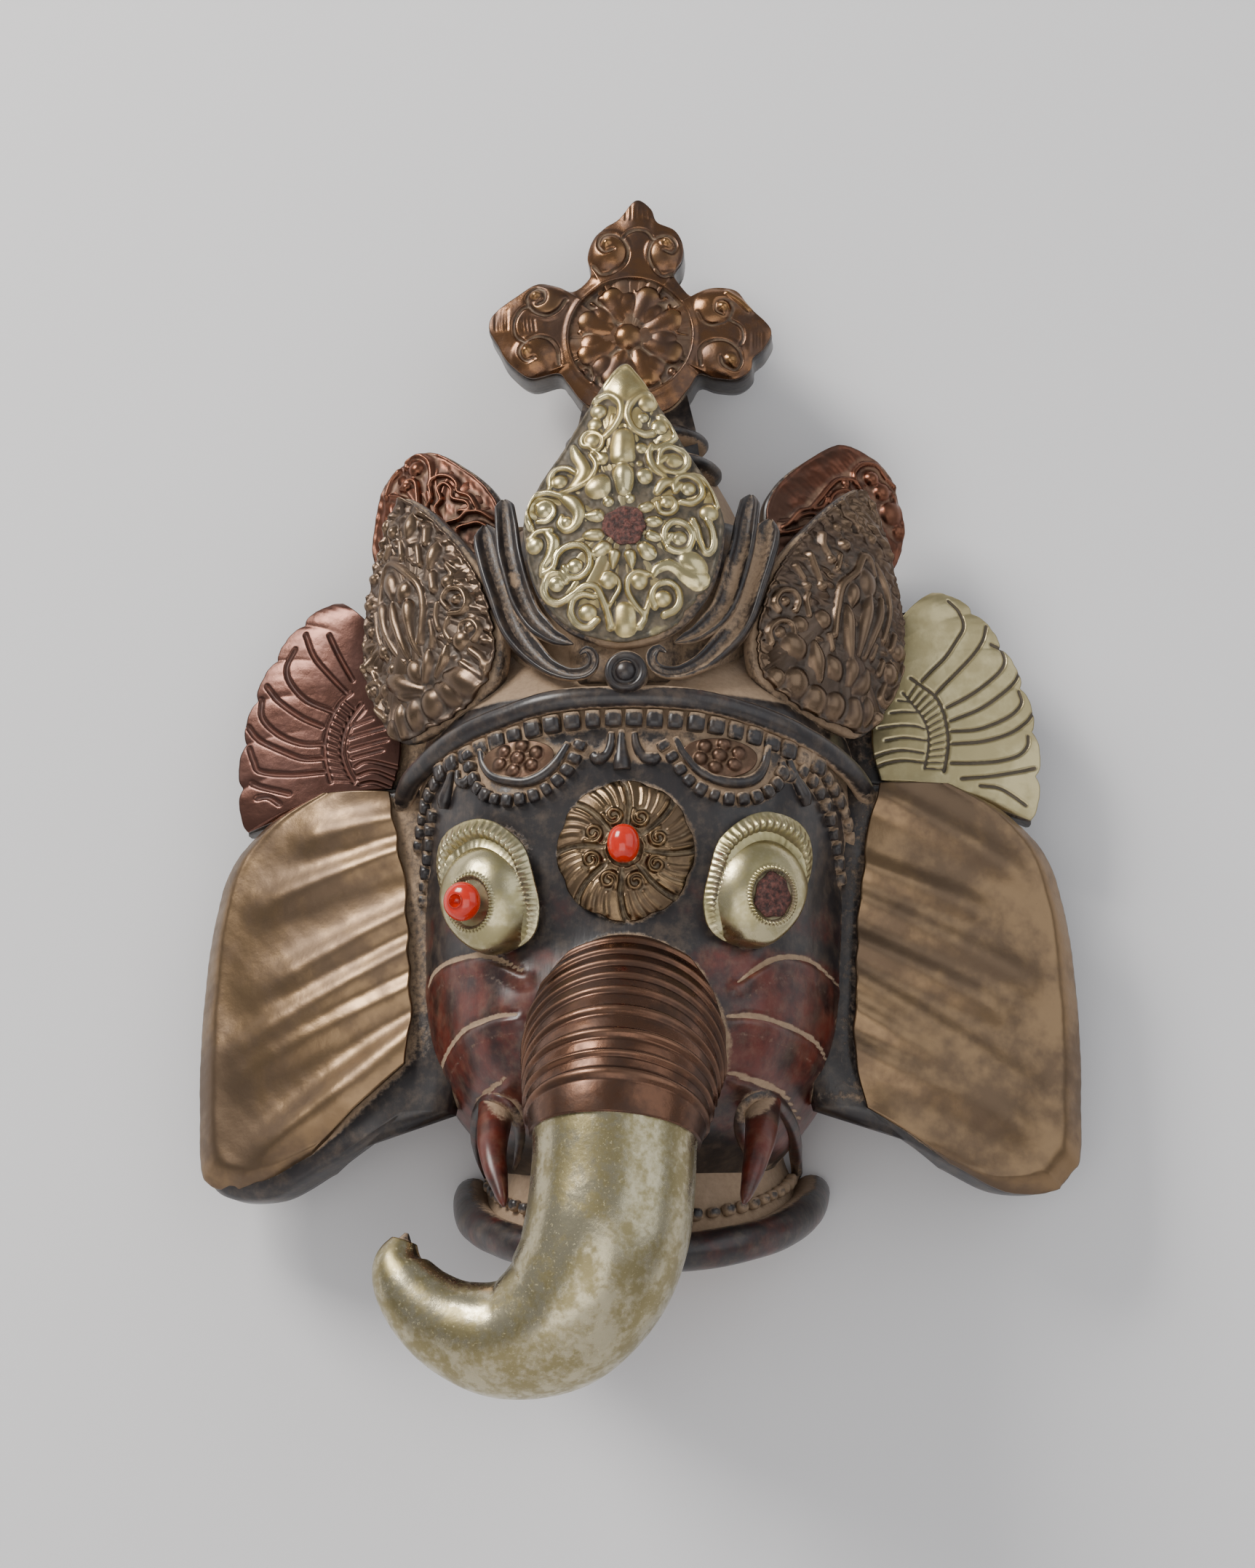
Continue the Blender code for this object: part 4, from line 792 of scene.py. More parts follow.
def addBeads(shape, path, sizes, **marks):
    line = bpy.data.meshes.new("line")
    line.from_pydata([tuple(p) for p in path], [(k, k + 1) for k in range(len(path) - 1)], [])
    pitch, out, across, along = [size * mm for size in sizes[:4]]
    beads = grown(beadRow, line, oldWood, Pitch=pitch, Out=out, Across=across, Along=along,
                  Roundness=sizes[4])
    addShell(shape, pointsOf(beads), [tuple(face.vertices) for face in beads.polygons], **marks)


def addAllBeads(shape):
    x, depth, z = alongBand(300, 5.6, -1.6)
    keep = (np.abs(x) < 45)
    addBeads(shape, at(x, depth, z)[keep], bandSizes["bead"], tint=0.1)
    for keys in swags:
        x, z = runThrough(keys, 60).T
        addBeads(shape, onFace(x, z, 0.5), bandSizes["swagBead"], tint=0.12)
    for keys in templeRows:
        x, z = runThrough(keys, 40).T
        addBeads(shape, onFace(x, z, 0.4), bandSizes["templeBead"], tint=0.05)
    addBeads(shape, collarStuds(), collarSizes["stud"], dusty=0.1)


# crown: planes and outlines of the leaves, fans and ears

# lift and broad scale the height and width of a leaf's strokes; veins is the rise of the ground between them
frontLeaf = {"plane": (0, 79, 28, 0, 5), "centre": (0, 2), "lift": 1.5, "broad": 1.3, "veins": 0.35,
             "half": [(0, 44.5), (4.2, 40), (9, 32), (14.5, 22), (20.5, 12), (23.8, 4), (23.7, -3),
                      (21.3, -13), (17, -20.5), (10, -26), (0, -28.5)]}
sideLeaf = {"plane": (51, 54, 16, 40, 0), "centre": (0, 0), "lift": 1.75, "broad": 1.5, "veins": 1.3,
            "outline": [(11, 31.5), (15.8, 24), (20, 12), (22.5, -2), (20.5, -15), (11, -30), (0, -30),
                        (-12, -27.5), (-21.5, -21.5), (-23.5, -11), (-19.5, 2), (-12, 13), (-2, 23.5),
                        (6, 30)]}
rearLeaf = {"plane": (48.5, 32.5, 45, 25, 0), "centre": (1, 0), "lift": 1.7, "broad": 1.3, "veins": 0.4,
            "outline": [(20, 8), (17, 15), (11, 19), (4, 20.5), (-5, 15), (-12.5, 8), (-16, 0), (-14, -14),
                        (0, -21), (14, -16), (21, -5)]}
ear = {"plane": (55, 40, -25, 19, 0),
       "root": [(5, 0), (1.5, -14), (-1, -32), (-2, -50), (-2.5, -66), (1, -80)],
       "margin": [(24, 1), (38, -5), (49, -15.5), (54.3, -33), (56.3, -52), (56.5, -74), (54, -94),
                  (38, -98.5), (22, -92.5)],
       "wood": 8.5, "tuck": 11, "bow": 0.0}
fan = {"plane": (58, 26, -22, 10, 0), "root": [(2, 1), (0, 10), (1, 24), (6, 40)],
       "margin": [(40.5, -8.5), (42, 4), (40.5, 19), (35, 33.5), (26, 45.5), (16.5, 50.5)],
       "wood": 7.0, "tuck": 12, "bow": 0.06}
finial = {"plane": (-1.2, 27.5, 95, 0, 0), "wood": 12.0,
          "outline": [(1.4, 37.2), (5.2, 34.8), (6.8, 31.2), (11.2, 29), (13.3, 25), (13, 20.5), (11, 17),
                      (12.8, 13.6), (15.5, 10.8), (18.5, 12.4), (22.5, 13), (27, 11.9), (30, 7.8),
                      (35.5, 1.6), (34, -3.2), (31, -6), (30.4, -9.2), (27, -11.6), (21.5, -11.2),
                      (17.3, -10), (14.6, -14), (9.4, -19.4), (0, -21), (-10.8, -17.8), (-16, -11.6),
                      (-18.5, -9), (-25.5, -10.2), (-30.8, -6.2), (-33.6, -1.4), (-36, 3.4), (-34.6, 7.4),
                      (-29, 11.8), (-23.8, 15), (-18.6, 14.2), (-14.4, 12.8), (-10.2, 16.8), (-11, 21.8),
                      (-9.4, 26.8), (-6.4, 30), (-3, 32.2)]}
sheetSizes = {"wall": 0.7, "gap": 0.6, "ribGap": 1.2, "dome": 3.0, "edgeWood": 6.0, "keelWood": 6.0,
              "cup": 2.0, "shoulder": 0.88, "earBend": 3.4, "earSpan": 55.0}


def whole(half):
    return half + [(-u, v) for u, v in half[-2:0:-1]]


def addLeafWood(shape, leaf, side):
    plane = turnedPlane(*leaf["plane"], side=side)
    outline = leaf.get("outline") or whole(leaf["half"])
    edge = runThrough(outline, 150, closed=True)
    middle = np.array(leaf["centre"], float)
    under = -sheetSizes["wall"] - sheetSizes["gap"]
    # size of the ring, height over the plane
    profile = [(s, -sheetSizes["dome"] * s * s + under) for s in np.linspace(0.1, 1.0, 8)]
    low = -sheetSizes["dome"] - sheetSizes["edgeWood"]
    profile += [(1.004, under - 4.2), (1.0, -6.5), (0.98, low + 0.8), (0.95, low)]
    profile += [(0.95 * (1 - t), low - sheetSizes["keelWood"] * t) for t in (0.25, 0.5, 0.75)]
    rings = np.stack([onPlane(plane, *(middle + (edge - middle) * s).T, h) for s, h in profile])
    addClosed(shape, rings, onPlane(plane, *middle, under),
              onPlane(plane, *middle, low - sheetSizes["keelWood"]), tint=0.05, dusty=0.25)


def plateAt(plate, inner, outer, t):
    # a point of a fan or an ear between its root and its margin
    u = inner[:, 0] * (1 - t) + outer[:, 0] * t
    v = inner[:, 1] * (1 - t) + outer[:, 1] * t
    across = outer - inner
    bowed = plate["bow"] * 4 * t * (1 - t)
    return u - across[:, 1] * bowed, v + across[:, 0] * bowed, np.hypot(*across.T)


def plateHeight(plate, span, t):
    height = sheetSizes["cup"] * (1 - (2 * t - 1) ** 2) + 0 * span
    if plate["bow"] == 0:
        bend = max(0.0, (t - sheetSizes["shoulder"]) / (1 - sheetSizes["shoulder"])) ** 1.7
        height = height - sheetSizes["earBend"] * bend * np.minimum(1.0, span / sheetSizes["earSpan"]) ** 2
    return height


def addPlateWood(shape, plate, side, rows=120):
    plane = turnedPlane(*plate["plane"], side=side)
    inner, outer = runThrough(plate["root"], rows), runThrough(plate["margin"], rows)
    under = -sheetSizes["wall"] - sheetSizes["ribGap"]
    marks = np.concatenate([np.linspace(0, 0.88, 12), [0.93, 0.965, 0.985]])
    top, low = [], []
    for t in marks:
        u, v, span = plateAt(plate, inner, outer, min(t, 0.97))
        height = plateHeight(plate, span, min(t, 0.97))
        top.append((u, v, height + under))
        low.append((u, v, height - plate["wood"]))
    tucked = [(top[0][0] - plate["tuck"], top[0][1], top[0][2])] + top
    u, v, _ = plateAt(plate, inner, outer, 0.985)
    rim = [(u, v, tucked[-1][2] - 1.2), (u, v, low[-1][2] + 1.4)]
    loop = tucked + rim + low[::-1] + [(low[0][0] - plate["tuck"], low[0][1], low[0][2])]
    loops = np.stack([onPlane(plane, *part) for part in loop], axis=1)
    addLoft(shape, loops, tint=0.12, dusty=0.1)


def addFinialWood(shape):
    plane = turnedPlane(*finial["plane"])
    edge = runThrough(finial["outline"], 220, closed=True)
    under = -sheetSizes["wall"] - 0.3
    profile = [(0.5, under), (0.97, under), (0.99, under - 0.6), (0.9995, under - 2), (0.995, -6),
               (0.9995, -finial["wood"] + 2), (0.985, -finial["wood"]), (0.5, -finial["wood"])]
    rings = np.stack([onPlane(plane, *(edge * s).T, h) for s, h in profile])
    addClosed(shape, rings, onPlane(plane, 0, 0, under), onPlane(plane, 0, 0, -finial["wood"]), tint=0.1,
              dusty=0.05)


# calyx: rolled horns that hold the front leaf

calyxOuter = [(34.5, 61, 35), (33, 63, 28), (30, 65, 18), (26.5, 67, 7), (20.5, 70, -1.5),
              (14.5, 73.5, -6.2), (10.2, 75.8, -7.2), (7.3, 76.8, -5.8), (6.9, 77.2, -3.2),
              (8.6, 77.4, -1.6), (10.2, 77.2, -2.6)]
calyxInner = [(30, 62, 41), (29, 64.5, 34), (27.5, 67, 24), (23.5, 69, 11), (18, 72, 4), (12, 74.6, 0.6)]
leafPier = [(-8, 0, 20, 74, 3), (12, 0, 24, 72, 3), (34, 0, 19, 70, 2.6), (60, 0, 9, 67, 2.3)]
calyxPier = [(-7, 0, 28, 68, 4), (10, 0, 33, 66, 5), (36, 0, 31, 60, 5)]


# half of a horn's cross-section from its outer foot to its middle: across, rise
hornHalf = [(-0.7, -0.8), (-1.0, -0.4), (-1.04, 0.3), (-0.98, 0.62), (-0.84, 0.78), (-0.68, 0.74),
            (-0.52, 0.52), (-0.3, 0.3)]
hornAcross, hornRise = np.array(hornHalf + [(0, 0.24)] + [(-a, b) for a, b in hornHalf[::-1]]).T[:, :, None]
hornHollow = np.where(np.abs(hornAcross[:, 0]) < 0.45, 0.17, -0.1)


def addCalyx(shape, side):
    for keys, radii in ((calyxOuter, [2.6, 3.5, 3.8, 3.8, 3.6, 3.3, 2.7, 1.9, 1.5, 1.3, 1.2]),
                        (calyxInner, [2.2, 2.8, 3.0, 2.9, 2.4, 0.9])):
        path = runThrough([(side * x, d, z) for x, d, z in keys], 70)
        share = np.linspace(0, 1, 70)
        wide = np.interp(share, np.linspace(0, 1, len(radii)), radii)
        wide = wide * np.sqrt(np.clip(np.minimum(share, 1 - share) / 0.06, 0.06, 1))
        middle = at(*path.T)
        # a flat band with a raised rim on each side and a hollow between
        way, front = framesAlong(middle)
        sizes = (wide * mm)[:, None, None]
        loops = middle[:, None] + way[:, None] * (hornAcross * sizes) + front[:, None] * (hornRise * sizes)
        addLoft(shape, loops, tint=0.08, hollow=np.repeat(hornHollow[None], 70, 0))


bossPlace = (0.8, 78, -7.7)  # x, depth, z
bossProfile = [(0.1, 3.4), (1.6, 3.2), (2.3, 2.4), (2.6, 1.7), (3.2, 1.9), (3.8, 2.8), (4.6, 2.6),
               (5.1, 1.2),
               (5.1, -2)]  # radius, rise


def addBoss(shape, x, depth, z, profile, **marks):
    # a turned button facing the viewer
    turns = fullTurn(40)
    rings = np.stack([at(x + r * np.cos(turns), depth + rise, z + r * np.sin(turns)) for r, rise in profile])
    addClosed(shape, rings, at(x, depth + profile[0][1], z), at(x, depth - 6, z), **marks)


def addPier(shape, keys):
    table = np.array(keys, float)
    loops = []
    for z in np.linspace(table[0, 0], table[-1, 0], 24):
        fall, half, reach, full = [np.interp(z, table[:, 0], table[:, k]) for k in range(1, 5)]
        loops.append(at(*halfRound(z, fall, half, reach, 60, full)))
    addLoft(shape, np.stack(loops), tint=0.05, dusty=0.45)


def addBlock(shape, corners, tall, **marks):
    # x, depth corners between two heights
    loops = [[at(x, depth, z) for x, depth in corners] for z in tall]
    addLoft(shape, np.array(loops), **marks)


def addTopknot(shape):
    for z, wide, depth, tall in ((60, 21.5, 19, 4.5), (68, 18, 16, 4.0)):
        turns = fullTurn(90)
        leans = np.linspace(0.12, math.pi - 0.12, 18)
        rings = np.stack([at(wide * math.sin(a) * np.cos(turns), 22 + depth * math.sin(a) * np.sin(turns),
                             z + tall * math.cos(a) + 0 * turns) for a in leans])
        addClosed(shape, rings, at(0, 22, z + tall), at(0, 22, z - tall), dusty=0.35)
    stem = [(56, 17, 4, 32), (71, 15, 8, 26), (84, 12, 14, 25)]
    loops = [[at(-w, near, z), at(w, near, z), at(w, far, z), at(-w, far, z)] for z, w, near, far in stem]
    addLoft(shape, np.array(loops), tint=0.05, dusty=0.4)


def roughened(shape, amount=0.16):
    # hand-carved surfaces are never quite true
    for k, points in enumerate(shape["points"]):
        x, y, z = points.T / mm
        shift = np.stack([rippled(x, y, z, 4.0, seed) for seed in (11, 12, 13)], -1)
        shape["points"][k] = points + shift * amount * mm
    for points in shape["points"]:
        points[:, 1] = np.minimum(points[:, 1], 0.0)


wood = newShape()
addHead(wood)
addTrunkCore(wood)
addNeck(wood)
addBand(wood)
addMouldings(wood)
addAllBeads(wood)
for side in (-1, 1):
    addTusk(wood, side)
    addCalyx(wood, side)
    for leaf in (sideLeaf, rearLeaf):
        addLeafWood(wood, leaf, side)
    addPlateWood(wood, ear, side)
    addPlateWood(wood, fan, side, 70)
    addBlock(wood, [(side * 20, 10), (side * 58, 10), (side * 58, 20), (side * 20, 20)], (30, 48), dusty=0.3)
    addBlock(wood, [(side * 20, 6), (side * 52, 6), (side * 52, 20), (side * 20, 20)], (-20, 18), dusty=0.3)
addLeafWood(wood, frontLeaf, 1)
addPier(wood, leafPier)
addPier(wood, calyxPier)
addTopknot(wood)
addFinialWood(wood)
addBoss(wood, *bossPlace, bossProfile, tint=0.05)
roughened(wood)
showPiece("carvedHead", wood, oldWood, ["carved_head"])


# beaten sheets: a relief traced stroke by stroke, in each sheet's own plane

strokes = {}
strokes["frontLeaf"] = """
r1 .8,42,1.7 .7,39.3,3.5 .6,37,4.8 r1,1 -6.9,34.2 -3.7,35.3 -1,33.2 -.7,29.7 -2.3,26.2 -4.1,24.2 b1.1
-6,31.1,1.7 b.8 -6.9,27.6,1.5 r.6,.8 -2.6,29.7 -3.1,26.8 -3.9,25.6 r1,1 7.6,34.4 4.4,35.4 1.7,32.8 .9,29.6
2.3,26.1 4.9,24.6 6.8,24.8 b1 5.7,33.3,2.1 b.9 8.7,26.8,1.8 r.8,.8 8.7,29.4 11.6,27 12.1,23.8 9.7,21.8
7.6,20.7 b.7 4.6,29.2,1.2 r1.5 -.1,23.2,2.7 -.1,20.9,2.9 -.1,18.6,2.9 b.9 4.3,20.6,1.4 b.9 -4.9,18.1,1.5 b.6
3.9,16.4,.9 r1.6 .1,15.9,.9 .1,13.9,2.4 .2,11.6,2.2 .3,9.9,1.7 b1 5.2,13.3,1.8 r1.2 -7.8,10.6,1.4
-5.9,10.7,2.8 -4.3,11.4,1.9 b.7 -3.5,6.8,1.1 b.7 1.7,7.4,1 r1 -6.1,3.1,1.5 -7.7,3.1,1.1 -9,3.3,.4 r1
-6,-2,1.5 -7.7,-1.9,1.3 -9.3,-2.1,.4 r1.1 -4.4,-5.3,1.7 -5.5,-6,1.5 -7.4,-6.9,.4 r1 -1.9,-7,1.3 -2.1,-8.5,1
-2.3,-10.5,.3 r1 1.8,-7.1,1.3 2.1,-8.6,1 2.3,-10.6,.3 r1.1 5.1,-5.4,1.5 6.1,-6.5,1.7 7.4,-7.5,.5 r1
6.7,-2.2,1.3 8,-2.7,1.2 9.5,-3,.3 r1 6.7,1.4,1.2 7.9,1.2,1.4 9.2,1.2,.6 r.9 5,4.9,1.1 6.2,5.2,1.2 7.1,5.7,.4
r.9,.6 -4.6,18.1 -7.9,21.1 -9.7,22 -10.1,24 -8.7,25.6 -6.3,25.2 -4.9,23.3 -5.5,21 -7,20.5 b1.1 -7.5,23.1,1.8
r1 -12.1,22,.6 -11.2,19.4,1.3 -9.7,16.5,1.7 -9.4,14.1,1.9 -11,11.8,1.4 -13.1,10.4,.8 r.9,.7 -7.8,19.3
-6.5,16.4 -7.8,12.9 -11,10.7 -14.7,9.6 r.9,.7 -17.6,11.4 -17.5,14.3 -15.8,16.3 -13.4,16.2 -11.5,14.8 b1.1
-15.3,12.5,1.8 r1.1,.8 -22,1.1 -23.3,5.7 -21.6,8.9 -18.4,10 -14.7,8.7 r1.1 -14.7,8.7,1.1 -12,6.7,1.7
-10.6,3.8,1.5 -11.4,.9,1 -13.5,-.3,.8 -15.2,1.3,.7 -14.6,3.5,.6 b1.1 -18.9,5.5,1.9 r.8,.6 -20.4,2.5
-18.1,2.5 -16.5,4.5 -17,6.8 -18.9,7.8 -20.8,6.8 b1 -13.4,1.8,1.3 b1.1 -20.9,-3.5,1.8 r.9,.7 -22.3,-1.8
-20.4,-.1 -17.2,.1 r1.1 -18.3,-.4,.8 -16.6,-3,1.5 -17.2,-6.4,1.3 -18.7,-9,1 -19.2,-11.3,.7 r1.1,.8 -19,-11
-16.6,-9.6 -15.6,-6.5 -13.5,-4.5 -10.3,-4.3 -8.1,-6.3 -7.9,-9.8 -10,-12.3 -12.9,-12 -14,-9.7 b1.1
-11.3,-9.7,1.8 b1.1 -15.8,-13.6,1.8 r1.1,.9 -13.4,-13.1 -15,-11.2 -17.6,-11.6 -18.7,-14.4 -17.6,-17.3
-14.9,-18.2 -11.8,-16.5 -9.1,-14.6 -6.5,-14.9 -4.9,-17.5 -3.6,-21 -2.8,-24.7 b1.1 -8.3,-21.2,2 r1,.8
-6.8,-17.2 -9.1,-16.6 -11.5,-17.7 -12.3,-20.5 -10.9,-23.4 -8.3,-24.6 -5.9,-22.9 b1 -3.4,-13.6,1.8 r.8,.5
-5.2,-13.5 -3.9,-11.5 -1.5,-12.5 -.7,-15.1 -2.3,-18.2 -3.3,-20.4 r1.1 .6,-21.3,2.4 .7,-22.7,2.7 .7,-24.2,2.6
b1 4,-13.7,1.8 r.9,.7 6.1,-12.1 3.5,-11.4 1.4,-13.1 1.3,-16.2 3,-19.4 5.1,-22.3 4.1,-24.8 r.7,.7 5.4,-21.7
6.2,-18.9 6.7,-16.6 b1.1 9.6,-18.1,1.9 r1,.8 7.7,-20 6.9,-17.2 8.3,-14.7 10.9,-13.9 13,-15.6 13.4,-18.5
12.2,-20.7 9.9,-21.8 r1 7.2,-13.2,.4 8.2,-10.7,1.1 10.9,-9.6,1.4 13.5,-10.8,1.6 15.6,-12.2,2.2
17.7,-12.9,2.5 r1.1 14.8,-7.4,1.5 16.2,-8.8,2.7 17.7,-10.3,2.2 b1.1 13.5,-3.1,1.8 r1,.9 11.7,-2.2 10.3,-4.1
10,-1 11.9,1.3 14.8,.9 16.6,-2 15.6,-5.4 13,-6.2 10.9,-5.3 r1,.8 16.7,2 17.7,-.3 18.5,-3.7 19.8,-6.3
21.4,-4.4 21.2,-.4 20.1,2 b1 20.4,4,1.9 b1 10.6,6.2,1.4 r1 8.3,9.1,.9 9.8,11.4,1.4 12.4,11.9,1.1 r.9,.7
8.2,6.2 9,3.9 11.4,3.6 12.7,5.6 11.6,7.6 9.5,7.5 b1.1 15.6,10.3,1.7 r1,.8 13.8,11.3 12.4,9.3 12.7,12.5
15.6,13.6 18.3,11.8 18.8,8.9 16.7,6.6 14,6.7 r.8,.6 13.5,13.6 17.2,14.1 20.1,11.8 21.7,8.8 22.4,5.9 b1.1
12.1,17.4,2.1 r1,.8 10.5,18.6 8.8,16.9 9.2,20.1 11.9,21.2 14.8,19.4 15.2,16.5 13.5,14.5 10.8,14.6 8.7,16.3
r1 6.8,21.6,.7 6.3,18.4,1 7.6,15.2,1.1 10.3,13.1,.7
"""
strokes["finial"] = """
b2.2 -.6,0,3.8 b1.5 -1.2,8.6,3.8 b1.4 5.1,5.9,3.4 b1.4 8.2,-1.4,3.7 b1.4 5.3,-7.9,3.4 b1.4 -.6,-8.9,3.7 b1.4
-6.6,-7.4,3.3 b1.4 -9.3,-1.9,3.6 b1.4 -7.2,4.7,3.6 r.8,.4 -9.9,9.3 -7.2,7.9 -4.8,9.7 -4.5,11.7 b.8
-7.2,10.5,1.1 r.8,.4 .9,12.8 2.5,10.1 5.8,8.8 9,10.3 b.8 5.1,11.1,1.2 r.8,.4 9.8,8.2 9.3,4.2 11.7,1 14.6,.1
b.8 12,3.9,1.2 r.8,.4 13.3,-6.1 9,-7.2 7.1,-10 7.9,-12.8 b.8 10.6,-9.5,1.2 r.8,.4 -13.4,-6.1 -10.4,-6.7
-9,-9.6 -9.3,-12.4 b.8 -11.5,-9,1.1 r.8,.4 -13.1,4.8 -10.7,2.4 -11.2,-.4 -13.6,-1.5 b.8 -12.6,1.6,1 b2
-6,25.1,1.5 b2 9.1,25.1,1.5 b1.8 -24,11.5,1.5 b1.8 -26.2,-3.4,1.6 b1.8 23.5,7.3,1.6 b1.8 25.2,-6.8,1.8
g.8,.4 -9.4,19 -7.2,16.8 -4,17.6 -1.4,19.7 -.6,22.9 -1.8,25.8 -4.5,27.6 -7.2,27.1 -8,24.5 -6.4,22.6
-4.2,23.2 g.8,.4 11.5,16.8 8.2,16 5.8,18.4 4.7,21.6 5.3,24.5 7.1,26.6 10.1,26.7 11.6,24.3 10.7,22.1 8.8,22.6
g.8,.4 -2.1,26.3 -.7,28 1.7,28.8 4.2,28.2 5.8,26.1 g.8,.4 -16.3,10 -18,7.5 -20.7,6 -23.7,6.8 -25.6,8.8
-26.1,11.4 -24.2,13.3 -21.8,12.4 -21.7,9.8 -23.4,9 g.8,.4 -25.6,8.8 -27.6,8 -29.4,4.6 -28.9,.8 -26.3,-1.2
g.8,.4 -17.9,-7.1 -18.5,-2.6 -20.9,.1 -24.4,.2 -27.2,-1.8 -27.9,-4.1 -26.3,-6.1 -24.1,-5.3 g.7,.3 17.1,5.8
18.4,3.5 20.8,2.5 24.3,3.6 25.8,6.7 24.4,9.2 21.9,8.8 21.7,6.2 23.3,5.2 g.7,.3 24.9,3.9 27.8,2.1 28.4,-.8
27.5,-3 g.8,.4 17.6,-7.9 17.6,-3.9 20.3,-1.7 24,-1.7 27,-3.9 28,-7 26.4,-9.4 23.5,-8.3 22.7,-6.3 r.9,.9
24.4,11.2 27.6,9 30,6.6 g.35,.2 -1,35.6 -1.1,31.9 g.35,.2 .2,35.6 .2,31.8 g.35,.2 1.4,35.6 1.5,31.8 g.35,.2
2.6,35.5 2.8,31.8 g.35,.2 3.8,35.5 4.1,31.7 g.35,.2 -34.2,8.1 -34.1,2.7 g.35,.2 -33.5,8.1 -33.3,2.6 g.35,.2
-32.7,8.1 -32.6,2.6 g.35,.2 -32,8.1 -31.8,2.6 g.35,.2 -31.2,8 -31.1,2.6 g.35,.2 -27.4,5.4 -27,2.1 g.35,.2
-26.5,5.4 -26.1,2.1 g.35,.2 -25.5,5.3 -25.1,2.1 g.35,.2 -24.5,5.3 -24.1,2 g.35,.2 30.8,.2 30.7,-4.8 g.35,.2
31.6,.2 31.5,-4.8 g.35,.2 32.4,.2 32.3,-4.8 g.35,.2 33.2,.2 33.1,-4.9
"""
strokes["leftLeaf"] = """
r1.5 10.8,11.3,1.1 10.2,8.9,2.2 8.7,6,1.8 r1.5 4.4,7.4,1.1 4.7,5.5,2.3 5.1,3.8,1.2 r1.6 9,4.1,.6 7.9,-.1,1.4
5.7,-5.1,1.5 3.7,-9.5,1.1 2.5,-12.3,.5 r1.6 3,2.5,1 2.6,.4,1.8 1.8,-4.2,1.4 .5,-8.5,1.1 -1.2,-11.9,.5 r1.3
13.5,4.5,.7 13.2,2.1,1.5 11.7,-3,1.2 8.4,-7.9,1.2 4.4,-12.4,.8 r1,1 14.6,4.1 13.9,10.3 12.4,14 9.2,13.8
4.1,10.1 -.3,6.1 -2.2,.6 -1.8,-5.6 -1.3,-8.3 r.9,.8 16.4,2.8 14.8,-3.8 11.5,-9.6 r1.5 1.9,-13.2,1
.9,-15.4,2.2 -.7,-18.2,1.1 r1.5 11.3,-15,.8 8.3,-16.7,2.3 3.5,-18.8,2 -1.1,-20.3,1.1 r1.1 9,-18.8,.8
5.1,-21,1.1 -.4,-21.8,.8 r1.4 -3.9,-11.3,.7 -3.7,-14.4,1.5 -2.3,-18,.9 r1.3 -9.8,-11.2,.7 -8.7,-14.3,1.3
-6.1,-17.7,.8 r1.5 -9.2,-18.3,1.3 -14.2,-20.7,2.9 -19.9,-23.2,1.2 r1.3 -6.1,-20.5,1.3 -9.6,-22.5,2.5
-11.9,-24.7,1.3 b1.5 -3.7,-24,2.7 r1.4 1.9,-23.6,1.8 2.3,-25.5,2.6 3,-27.6,1.5 r1.4 7,-23.2,1.1 7.3,-25.6,2
6.9,-29.1,1.4 r1.2 10.8,-25.5,.8 10.5,-27.8,1.9 10,-29.9,1 b1.3 -9.6,5.5,1.5 b1.1 -12.6,.3,1.1 r1,.7
-10.2,-1.4 -8.5,.9 -9.9,3.3 -13.7,2.7 -15.6,-.6 -14.5,-3.1 -10.9,-3.1 b1.1 -16.8,-7.6,1.2 r1,.7 -14,-8.7
-14.6,-6.2 -17.6,-6 -19.5,-8.7 -18,-10.9 r.9,.8 -10.3,-4.5 -9.6,-7.2 -11,-9.7 b1.3 -14.4,-10.4,2 r.9,.8
-4.7,-3.9 -5.3,-7.4 -4.8,-10.1 r1.1,1.1 -4.5,8 -5.4,4.4 r1.3 -4.4,16.2,.8 -4.1,13.7,1.6 -3.7,10.4,1 r1.1
5,25.8,.7 4.9,23.2,1.5 5.2,20.4,.8 b1.2 11.4,22.9,1.3 r1 16.3,29.2,1.1 14.6,24.8,1 r1.1,1 -.8,20.7 -1.3,17.2
r1,.8 7.4,19.1 6.5,15.5 r1,.8 1,16.6 -.2,11.8 r1,1 12.1,19 13.2,16.4 r.9,.8 6.5,14.4 10.4,15.8 b1.1
16,17.9,1 b1.1 18.3,12.4,1.1 b1.1 19.9,5.9,1.1 b1.1 18.2,-1.4,1.1 b1.2 12.7,-7.9,1.5 b1.2 9.1,-13.2,1.4 b1.1
21.8,-10,1.1 b1.1 17.5,-16.6,1.1 r.9,.7 19.2,-18.2 19.9,-15.5 17.7,-14.3 14.9,-15.7 14.5,-18 16.5,-19 b1.1
12.8,-17.5,1.5 r.9,.7 16.6,-13.6 17.8,-11.7 19.4,-10.8 r1,.8 -7,.1 -6.7,-3.2 -7.5,-6.2 r1,.9 -17.1,-13.2
-20.2,-16.1 -21.4,-19.6 r.9,.8 -14.1,-15.9 -17.2,-18.2 -20.2,-20.5 b1.1 -21,-17.9,1.3 r1,.8 16.8,-21.5
13.6,-24.4 r.9,.7 -8.4,10 -10.7,7.2
"""
